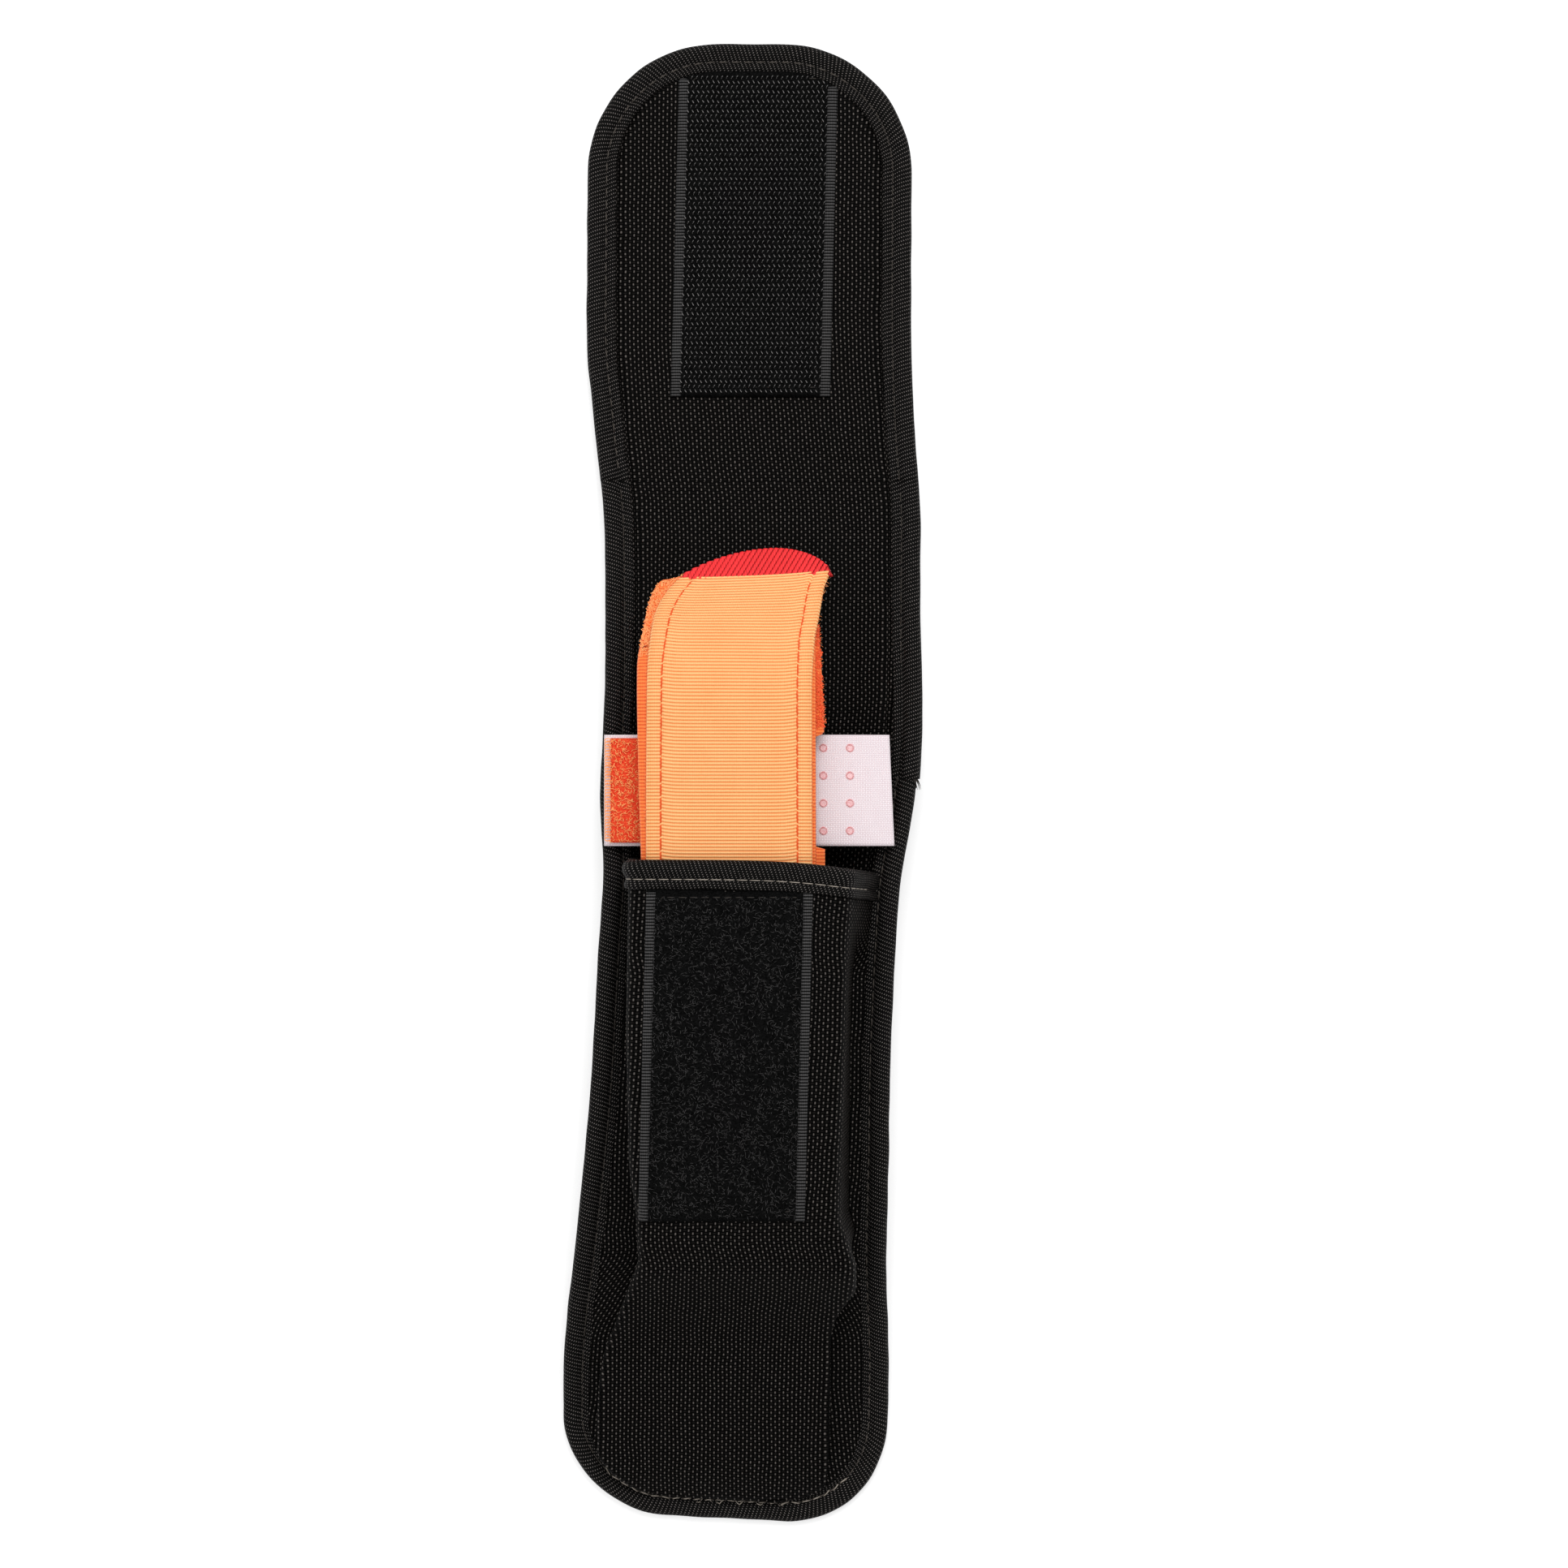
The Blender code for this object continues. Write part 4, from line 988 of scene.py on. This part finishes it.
# ------------------------------------------------------------ belt loop
def make_belt_loop():
    """The webbing on the pouch's back, with its two sewn boxes."""
    low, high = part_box("belt_loop")
    x0, x1 = low[0] / MM, high[0] / MM
    y0, y1 = low[1] / MM, high[1] / MM
    sewn_z = high[2] / MM - 0.8
    path = []
    for y in steps(y0, y1, 0.8):
        near = min(y - y0, y1 - y)
        path.append((y, 0.8 + (sewn_z - 0.8) * (1 - ease((near - 4) / 11))))
    piece = webbing("belt_loop_webbing", path, lambda i: (x0, x1), 1.6, SELVEDGE)
    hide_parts("belt_loop")
    seams = []
    for a, b in ((y0 + 1.2, y0 + 4.6), (y1 - 4.6, y1 - 1.2)):
        corners = [(x0 + 2, a), (x1 - 2, a), (x1 - 2, b), (x0 + 2, b), (x0 + 2, a)]
        line = [Vector((x, y, sewn_z - 0.78)) for x, y in corners]
        seams += stitch_lines(line, -UP, 2.6, 0.78, 0.18)
    belongs("pouch", "binding", piece, tubes("belt_loop_stitches", seams, BROWN_THREAD))


# ------------------------------------------------------------ webbing
def lean_back(y, run=0):
    """How far the bundle's upper end leans back; the runs behind the front one lean further."""
    t = max(y - LEAN_FROM_Y, 0.0) / LEAN_SPAN
    return LEAN_DEPTH * t**1.6 * (1 + 0.07 * run)


def webbing_columns(left, right, columns, seam_in):
    """Where the columns of points are across a webbing; there are more of them beside its seams."""
    xs = [left] + [left + (right - left) * t for t in spread(0.012, 0.988, columns)] + [right]
    if seam_in is None:
        return xs
    return sorted(xs + [left + seam_in + d for d in SEAM_ROWS] + [right - seam_in + d for d in SEAM_ROWS])


def webbing_front(from_edge, run, thickness, rib, seam_in):
    """Height of a webbing's front, and the place along its ribs, which bend where a seam pulls."""
    height, phase = thickness / 2, run
    if seam_in is not None:
        inside = from_edge - seam_in
        phase -= 0.55 * math.exp(-inside / 1.6) if inside > 0 else 0.0
        height -= 0.3 * math.exp(-(inside / 0.45)**2)
    if rib:
        height += rib * (abs(math.sin(math.pi * phase / RIB_PITCH)) - 0.6)
    return height if from_edge > 0 else WEBBING_EDGE, phase


def webbing(name, path, edges, thickness, material, rib=0.0, seam=None, columns=FRONT_COLUMNS,
            bow=lambda y, x: 0.0):
    """Webbing along a (y, z) path, between edges(i). rib is the height of its ribs, seam(i) how far
    in its seams are, and bow(y, x) how far it bends off the path."""
    rings, places = [], []
    run = 0.0
    for i, (y, z) in enumerate(path):
        if i:
            run += math.hypot(y - path[i - 1][0], z - path[i - 1][1])
        before, after = path[max(i - 1, 0)], path[min(i + 1, len(path) - 1)]
        along = Vector((0, after[0] - before[0], after[1] - before[1])).normalized()
        up = Vector((0, -along.z, along.y))
        left, right = edges(i)
        seam_in = seam(i) if seam else None
        front, back, uvs = [], [], []
        for x in webbing_columns(left, right, columns, seam_in):
            from_edge = min(x - left, right - x)
            height, phase = webbing_front(from_edge, run, thickness, rib, seam_in)
            depth = thickness / 2 if from_edge > 0 else WEBBING_EDGE
            front.append(Vector((x, y, z)) + up * (height + bow(y, x)))
            back.append(Vector((x, y, z)) - up * (depth - bow(y, x)))
            uvs.append((x - left - (right - left) / 2, phase))
        rings.append(front + back[::-1])
        places.append(uvs + uvs[::-1])
    count = len(rings[0])
    return sweep(name, rings, material, closed=True, caps=True, uv=lambda i, j: places[i][j % count])


# The edges of the band's three runs, by height, the front run being the first.
FRONT_LEFT = [(-103, -21.4), (-15, -21.7), (25, -21.5), (37.5, -20.3), (42, -19.0), (45.4, -17.2),
              (48.3, -14.8)]
FRONT_RIGHT = [(-103, 16.8), (20, 16.4), (32, 17.0), (38.5, 18.2), (44.9, 19.4), (48.3, 20.8)]
SECOND_LEFT = [(-103, -22.8), (-22, -23.0), (0, -23.6), (26, -24.0), (35, -22.8), (41.6, -21.6),
               (44.9, -20.4), (46.5, -19.2), (48, -13.0)]
SECOND_RIGHT = [(-103, 15.7), (-22, 17.4), (25, 17.3), (38, 17.3), (48, 16.0)]
THIRD_LEFT = [(-103, -18.4), (26, -19.0), (40, -17.5), (48, -10.0)]
THIRD_RIGHT = [(-103, 19.8), (-15.6, 19.5), (-15.2, 17.2), (10.5, 17.2), (10.9, 19.3), (22, 18.9),
               (35, 18.1), (41, 16.5), (48, 13.5)]
RUN_EDGES = ((THIRD_LEFT, SECOND_LEFT), (THIRD_RIGHT, SECOND_RIGHT))
BAND_END_Y, BAND_FOOT_Y = 48.3, -103.0
RUN_LOOPS = 420
RUNS_HEAD_Y = 47.0                              # where the second and third runs meet
END_SLANT = 0.034
SLANT_FROM_Y, SLANT_SPAN, SLANT_X = 34, 14, 20.8
# The band's way out of the friction buckle, as (y, z).
BUCKLE_TURN = [(-88.6, 17.6), (-90.4, 17.6), (-92.0, 17.6), (-93.4, 17.9), (-94.6, 18.4), (-95.3, 19.2),
               (-95.6, 20.2), (-95.7, 21.4), (-95.6, 22.6), (-95.2, 23.9), (-94.4, 25.0), (-93.0, 26.0),
               (-91.0, 26.7), (-88.5, 27.0)]


def front_z(y):
    return FRONT_Z - lean_back(y)


def cupped(y, x):
    """The band's upper end cups to the front at its edges and lies unevenly."""
    cup = 0.8 * ease((y - 25) / 20) * (x / 20)**2 * (1 if x > 0 else 0.4)
    return cup + 0.45 * ripple(x, y, 24, 9.0) * ease((y + 10) / 20)


def front_edges(y):
    """The woven edge is scalloped, one scallop to a rib."""
    scallop = 0.08 * abs(math.sin(math.pi * (y + 60) / RIB_PITCH))
    return through(FRONT_LEFT, y) - scallop, through(FRONT_RIGHT, y) + scallop


def third_edges(y):
    return through(THIRD_LEFT, y), through(THIRD_RIGHT, y)


def front_seam(y):
    """How far in from its edges the front run's seams are."""
    return 3.4 + 0.4 * ease((y - 20) / 25)


def slant_end(obj):
    """The band's end runs slightly down to the left."""
    for vertex in obj.data.vertices:
        x, y = vertex.co.x / MM, vertex.co.y / MM
        vertex.co.y += END_SLANT * (x - SLANT_X) * ease((y - SLANT_FROM_Y) / SLANT_SPAN) * MM


def two_faced(band, columns, first_row, front, back):
    """Webbing has a ribbed face and a pile one. From first_row on, its front gets one material and its back
    the other, a darker copy of the band's material that paints shade on its back and the runs behind."""
    mesh = band.data
    mesh.materials.clear()
    mesh.materials.append(back)
    mesh.materials.append(front)
    for index, face in enumerate(mesh.polygons):
        row, column = divmod(index, 2 * columns)
        face.material_index = 1 if row >= first_row and column < columns else 0


def front_seams(path):
    """The two seams along the front run."""
    lines = []
    for sign in (-1, 1):
        points = []
        for y, z in path[::4]:
            left, right = front_edges(y)
            x = left + front_seam(y) if sign < 0 else right - front_seam(y)
            points.append(Vector((x, y, z + BAND_THICK / 2 - 0.12 + cupped(y, x))))
        lines += stitch_lines(points, UP, pitch=3.1, share=0.9, radius=0.19)
    return tubes("band_front_seams", lines, ORANGE_THREAD)


def make_front():
    """The band's front run; its fuzz and the red pull tip ride on the body of its peeling end."""
    ys = steps(BAND_FOOT_Y, -40, 3) + steps(-38, BAND_END_Y, RIB_PITCH / 5)
    path = [(y, front_z(y)) for y in ys]
    band = webbing("band_front", path, lambda i: front_edges(path[i][0]), BAND_THICK, ORANGE, rib=0.13,
                   seam=lambda i: front_seam(path[i][0]), bow=cupped)
    # The front run's back gets the darker copy of the band, painted shade.
    two_faced(band, FRONT_COLUMNS + 2 + 2 * len(SEAM_ROWS), 0, ORANGE, ORANGE_PAINTED_SHADE)
    seams = front_seams(path)
    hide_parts("band_free_end")
    for item in (band, seams):
        slant_end(item)
        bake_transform(item)
    loose = [p for p in path if p[0] > PEEL_Y + 6]
    fuzz = make_fuzz("band_front_fuzz", loose, front_edges, 150)
    tip = make_tip()
    slant_end(fuzz)
    slant_end(tip)
    belongs("band_end", "orange_band", fuzz)
    belongs("band_end", "red_tip", tip)


def tip_crest(s):
    """The pull tip's arch, from its left end (0) to its right (1)."""
    crown = 0.62
    if s < crown:
        return math.sin(math.pi / 2 * s / crown)**0.75
    return math.cos((s - crown) / (1 - crown) * math.pi / 2)**0.5


def make_tip():
    """The red pull tip: an arched end with slanting cords."""
    length, left, right = 6.9, -14.9, 20.9
    rows, places = [], []
    for t in spread(0, 1, 40):
        row, uvs = [], []
        for s in spread(0, 1, 160):
            x = left + (right - left) * s
            y = BAND_END_Y - 0.2 + length * tip_crest(s) * t
            cord = x * 0.86 - (y - BAND_END_Y) * 0.5
            height = 0.3 + cupped(y, x) + 0.28 * (abs(math.sin(math.pi * cord / TIP_CORD_PITCH)) - 0.6)
            row.append(Vector((x, y, front_z(y) + height)))
            uvs.append((x, cord))
        rows.append(row)
        places.append(uvs)
    tip = sweep("pull_tip", rows, RED, uv=lambda i, j: places[i][j], thickness=1.3)
    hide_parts("band_tip")
    return tip


def make_fuzz(name, path, edges, count):
    """Stray fibres along a webbing's edges."""
    lines = []
    for n in range(count):
        y, z = rng.choice(path)
        sign = rng.choice((-1, 1))
        x = edges(y)[0 if sign < 0 else 1]
        start = Vector((x, y, z + (rng.random() - 0.5) * 1.6))
        way = Vector((sign * (0.3 + rng.random() * 0.5), rng.random() - 0.5, rng.random() * 0.8 - 0.1))
        curl = Vector((0, rng.random() - 0.5, rng.random() - 0.5)) * 0.8
        lines.append([(start + way * t + curl * t * t, 0.045 * (1.3 - t)) for t in (-0.2, 0.3, 0.7, 1.0)])
    return tubes(name, lines, ORANGE_FUZZ, sides=3)


def fold(centre, radius, start, end, count=9):
    """An arc of (y, z) points."""
    return [(centre[0] + radius * math.cos(math.radians(a)), centre[1] + radius * math.sin(math.radians(a)))
            for a in spread(start, end, count)]


def back_runs():
    """The folded runs behind the front one: their path, their edges at each of its points, and the
    row where the second run starts."""
    second, third = FRONT_Z - BAND_PITCH, FRONT_Z - 2 * BAND_PITCH
    head = RUNS_HEAD_Y
    up = steps(-86.0, -18.0, 4) + steps(-17.0, head, 0.6)
    rise = BUCKLE_TURN + [(y, third - lean_back(y, 2)) for y in up]
    radius = (BAND_PITCH + lean_back(head, 2) - lean_back(head, 1)) / 2
    head_turn = fold((head, (third + second) / 2 - lean_back(head, 1.5)), radius, -105, 75)[1:-1]
    down = steps(-22.0, head, RIB_PITCH / 3)[::-1] + steps(BAND_FOOT_Y, -24.0, 4)[::-1]
    fall = [(y, second - lean_back(y, 1)) for y in down]
    foot_turn = fold((BAND_FOOT_Y, (second + FRONT_Z) / 2), BAND_PITCH / 2, 270, 90)[1:-1]
    path = rise + head_turn + fall + foot_turn
    shares = [0.0] * len(rise) + [(i + 1) / (len(head_turn) + 1) for i in range(len(head_turn))]
    shares += [1.0] * (len(fall) + len(foot_turn))
    edges = [[through(a, y) * (1 - t) + through(b, y) * t for a, b in RUN_EDGES]
             for (y, _), t in zip(path, shares)]
    return path, edges, len(rise) + len(head_turn)


def make_band():
    """The folded runs behind the front one."""
    path, edges, turned = back_runs()
    # The runs get the darker copy of the band, painted shade; only the second run's front gets the plain
    # orange.
    band = webbing("band_runs", path, lambda i: edges[i], BAND_THICK, ORANGE_PAINTED_SHADE, rib=0.09,
                   columns=RUN_COLUMNS)
    two_faced(band, RUN_COLUMNS + 2, turned, ORANGE, ORANGE_PAINTED_SHADE)
    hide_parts("band_bundle")
    z = FRONT_Z - 2 * BAND_PITCH
    behind = [(y, z - lean_back(y, 2)) for y in steps(13, 42, 0.5)]
    fuzz = make_fuzz("band_runs_fuzz", behind, third_edges, 90)
    second = run_pile("second_run_loops", 1, 29, 48.3, second_margin, (0.3, 0.35), 0.35, 0.09, ORANGE_FUZZ)
    # The third run's loops get the darker red, painted shade.
    third = run_pile("third_run_loops", 2, 12.5, 36.5, third_margin, (0.25, 0.3), 0.3, 0.085, SIDE_PILE_SHADED)
    belongs("tourniquet", "orange_band", band, fuzz, second, third, make_lost_thread())
    make_inner_strap()


def run_pile(name, run, low, high, across, size, rise, radius, material):
    """Loop pile on the margin of the second (1) or third (2) run. across(y) is where the margin
    starts, and how wide it is; size is the shortest loop and how much longer others are."""
    lines = []
    for n in range(RUN_LOOPS):
        y = low + (high - low) * rng.random()
        start, width = across(y)
        x = start + width * rng.random()
        z = FRONT_Z - run * BAND_PITCH - lean_back(y, run) + BAND_THICK / 2
        lines.append(loop_fibre(Vector((x, y, z + 0.05)), size[0] + size[1] * rng.random(), rise, radius))
    return tubes(name, lines, material, sides=4, ribbon=True)


def second_margin(y):
    left = through(SECOND_LEFT, y)
    return left + 0.2, through(FRONT_LEFT, y) - left + 0.6


def third_margin(y):
    return 16.6, through(THIRD_RIGHT, y) - 16.5


def loop_fibre(base, size, rise, radius):
    """One bowed fibre lying over pile, pointing anywhere."""
    turn, bend = rng.random() * 2 * math.pi, rng.random() - 0.5
    way = Vector((math.cos(turn), math.sin(turn), 0))
    aside = Vector((-way.y, way.x, 0)) * bend
    line = []
    for t in (0, 0.25, 0.5, 0.75, 1):
        arch = math.sin(math.pi * t)
        line.append((base + (way * (2 * t - 1) + aside * arch) * size + UP * (rise * arch), radius))
    return line


def make_lost_thread():
    """A short dark thread caught at the second run's edge."""
    centre = Vector((-22.3, 30.4, FRONT_Z - BAND_PITCH - lean_back(31, 1) + 1.3))
    line = [(centre + Vector((-0.9 * math.cos(a) + 0.4, 0.9 * math.sin(a), 0.1)), 0.1)
            for a in spread(-0.4, 2.0, 9)]
    return tubes("lost_thread", [line], RED_THREAD)


def make_inner_strap():
    """The strap that the rod winds, bunched through the rod's slot as the CAD has it."""
    low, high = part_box("inner_strap")
    z = high[2] / MM - 0.5
    rod_y = JOINTS["windlass_turn"]["pos_m"][1] / MM
    bottom = low[2] / MM + 0.5
    half = [(low[1] / MM, z, 12.5), (rod_y - 20, z, 12.5), (rod_y - 15, z, 10.5), (rod_y - 11, z, 5.0),
            (rod_y - 8, z - 0.5, 2.4), (rod_y - 6.6, z - 2, 1.5), (rod_y - 5.6, z - 4.6, 1.4),
            (rod_y - 4.4, z - 7, 1.4), (rod_y - 2.6, bottom + 0.5, 1.4), (rod_y, bottom, 1.4)]
    points = half + [(2 * rod_y - y, h, w) for y, h, w in reversed(half[1:-1])] + [(high[1] / MM, z, 12.5)]
    # The inner strap gets the darker copy of the band, painted shade.
    strap = webbing("inner_strap_webbing", [(y, h) for y, h, _ in points],
                    lambda i: (BAND_X - points[i][2], BAND_X + points[i][2]), 1.0, ORANGE_PAINTED_SHADE, columns=8)
    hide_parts("inner_strap")
    belongs("tourniquet", "orange_band", strap)


# ------------------------------------------------------------ time strap
TAB_DROOP = 1.2
# Each piece of the time strap: its name, CAD node, material, body, slot, and how far its end droops.
STRAP_PIECES = [
    ("time_strap_core", "time_strap_middle", WHITE, "tourniquet", "white_strap", 0.0),
    ("time_strap_left", "time_strap_left_tab", WHITE, "strap_left", "white_strap", TAB_DROOP),
    ("time_strap_right", "time_strap_right_tab", WHITE, "strap_right", "white_strap", TAB_DROOP),
    ("left_hook_field", "left_tab_patch", RED_PILE, "strap_left", "hook_patch", 0.9),
    ("right_hook_field", "right_tab_patch", RED_PILE, "strap_right", "hook_patch", 1.0),
]
STRAP_THICK = 0.9


def strap_surface(name, node, material, body, droop):
    """A piece of the time strap in the space of its CAD node, with softly curled corners."""
    low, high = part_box(node)
    x0, x1 = low[0] / MM, high[0] / MM
    y0, y1 = low[1] / MM, high[1] / MM
    rows = []
    for y in steps(y0, y1, 0.8):
        row = []
        for x in steps(x0, x1, 0.6):
            t = (x1 - x) / (x1 - x0) if body == "strap_left" else (x - x0) / (x1 - x0)
            z = high[2] / MM - STRAP_THICK / 2 - droop * t * t
            z += 0.25 * ripple(x, y, 11, 3.0) * t
            slant = -t * (0.3 + 1.2 * (y - y0) / (y1 - y0)) if body == "strap_right" else 0.0
            row.append(Vector((x + slant, y, z)))
        rows.append(row)
    return sweep(name, rows, material, thickness=STRAP_THICK)


def make_time_strap():
    """The strap across the bundle, with its patches, their loops and its welds."""
    for name, node, material, body, slot, droop in STRAP_PIECES:
        piece = strap_surface(name, node, material, body, droop)
        belongs(body, slot, piece)
        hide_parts(node)
    make_left_loops()
    make_weld_dots()


def make_left_loops():
    """Tangled loops over the left tab, running out over its white edge."""
    low, high = [[value / MM for value in point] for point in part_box("left_tab_patch")]
    lines = []
    for n in range(620):
        t = rng.random()
        x = low[0] - 0.9 + (high[0] - low[0] + 0.9) * t
        y = low[1] + 0.3 + rng.random() * (high[1] - low[1] - 0.6)
        z = high[2] - 0.1 - 0.9 * (1 - t)**2
        lines.append(loop_fibre(Vector((x, y, z)), 0.22 + 0.32 * rng.random(), 0.5, 0.07))
    for n in range(34):
        centre = Vector((low[0] - 0.7, low[1] + 0.8 + n * 0.7, high[2] - 1.1))
        line = []
        for a in spread(0, 2 * math.pi * 0.92, 10):
            turn = Vector((0.75 * math.cos(a), 0.42 * math.sin(a), 0.12 * math.sin(2 * a)))
            line.append((centre + turn, 0.11))
        lines.append(line)
    belongs("strap_left", "hook_patch", tubes("left_tab_loops", lines, ORANGE_FUZZ, sides=4, ribbon=True))


WELD_SIDES = 18
WELD_FIRST_X, WELD_FIRST_Y = 2.1, 7.7
WELD_PITCH_X, WELD_PITCH_Y = 6.2, 6.45
# Radius and height of the rings that a spot weld is made of, from its middle out.
WELD_SECTION = [(0.45, 0.03), (0.8, 0.10), (1.0, 0.05), (1.08, -0.1)]


def weld_centres():
    """Two columns of four over the patch under the right tab."""
    low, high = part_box("time_strap_right_tab")
    x0, top = low[0] / MM, high[2] / MM
    centres = []
    for column in range(2):
        x = x0 + WELD_FIRST_X + WELD_PITCH_X * column
        t = (x - x0) / 19.0
        z = top - TAB_DROOP * t * t + 0.04
        centres += [(x, WELD_FIRST_Y - WELD_PITCH_Y * row, z) for row in range(4)]
    return centres


def weld_disc(centre):
    """Points and faces of one shallow disc."""
    x, y, z = centre
    points = [(x, y, z + 0.02)]
    for radius, h in WELD_SECTION:
        for k in range(WELD_SIDES):
            a = 2 * math.pi * k / WELD_SIDES
            points.append((x + radius * math.cos(a), y + radius * math.sin(a), z + h))
    faces = []
    for k in range(WELD_SIDES):
        m = (k + 1) % WELD_SIDES
        faces.append((0, 1 + k, 1 + m))
        for ring in range(len(WELD_SECTION) - 1):
            a, b = 1 + ring * WELD_SIDES, 1 + (ring + 1) * WELD_SIDES
            faces.append((a + k, b + k, b + m, a + m))
    return points, faces


def make_weld_dots():
    """Spot welds that hold the patch under the right tab: sunken, stained rings."""
    centres = weld_centres()
    verts, faces, corners = [], [], []
    for centre in centres:
        start = len(verts)
        points, disc = weld_disc(centre)
        verts += [Vector(p) * MM for p in points]
        for face in disc:
            faces.append(tuple(start + k for k in face))
            corners += [points[k][:2] for k in face]
    dots = finish_mesh("weld_dots", verts, faces, corners, WELD)
    rims = [[(Vector((x + 0.78 * math.cos(a), y + 0.78 * math.sin(a), z + 0.06)), 0.14)
             for a in spread(0.2, 2 * math.pi, 16)] for x, y, z in centres]
    belongs("strap_right", "hook_patch", dots, tubes("weld_rings", rims, WELD_RING))


# ------------------------------------------------------------ hard parts
def dress_hard_parts():
    """The moulded parts are seen as the CAD has them."""
    for node in ("stabilization_plate", "windlass_clip", "friction_buckle", "windlass_rod"):
        obj = frame["nodes"][node]
        obj.data.materials.clear()
        obj.data.materials.append(PLASTIC)


# ------------------------------------------------------------ studio
def area_light(name, location, size, power):
    """A soft light that faces the part."""
    light = bpy.data.lights.new(name, "AREA")
    light.energy = power
    light.size = size
    obj = bpy.data.objects.new(name, light)
    obj.location = location
    obj.rotation_euler = (-Vector(location)).to_track_quat("-Z", "Y").to_euler()
    bpy.context.scene.collection.objects.link(obj)


def make_floor():
    floor = bpy.data.meshes.new("floor")
    floor.from_pydata([(-3, -3, 0), (3, -3, 0), (3, 3, 0), (-3, 3, 0)], [], [(0, 1, 2, 3)])
    paper = bpy.data.materials.new("pale_floor")
    paper.use_nodes = True
    inputs = paper.node_tree.nodes["Principled BSDF"].inputs
    inputs["Base Color"].default_value = (0.85, 0.85, 0.85, 1)
    inputs["Roughness"].default_value = 0.9
    inputs["Emission Color"].default_value = (1, 1, 1, 1)
    inputs["Emission Strength"].default_value = 0.38
    floor.materials.append(paper)
    obj = bpy.data.objects.new("floor", floor)
    obj.location = (0, 0, -0.0006)
    bpy.context.scene.collection.objects.link(obj)


def make_studio():
    scene = bpy.context.scene
    camera = bpy.data.objects.new("camera", bpy.data.cameras.new("camera"))
    camera.data.lens = 66.7
    camera.data.sensor_width = 36
    camera.location = (0.010, -0.0007, 0.700)
    scene.collection.objects.link(camera)
    scene.camera = camera
    world = bpy.data.worlds.new("studio")
    world.use_nodes = True
    sky = world.node_tree.nodes["Background"].inputs
    sky[0].default_value = (1, 1, 1, 1)
    sky[1].default_value = 0.46
    scene.world = world
    area_light("key", (0.1, 0.55, 0.95), 0.5, 6.6)
    area_light("fill", (-0.5, -0.1, 1.0), 0.9, 2.9)
    area_light("rim", (0.35, -0.5, 1.0), 0.6, 1.4)
    make_floor()
    scene.view_settings.view_transform = "Standard"


make_studio()
make_panels()
make_tape()
make_pocket()
make_flap_pad()
make_belt_loop()
make_band()
make_front()
make_time_strap()
dress_hard_parts()
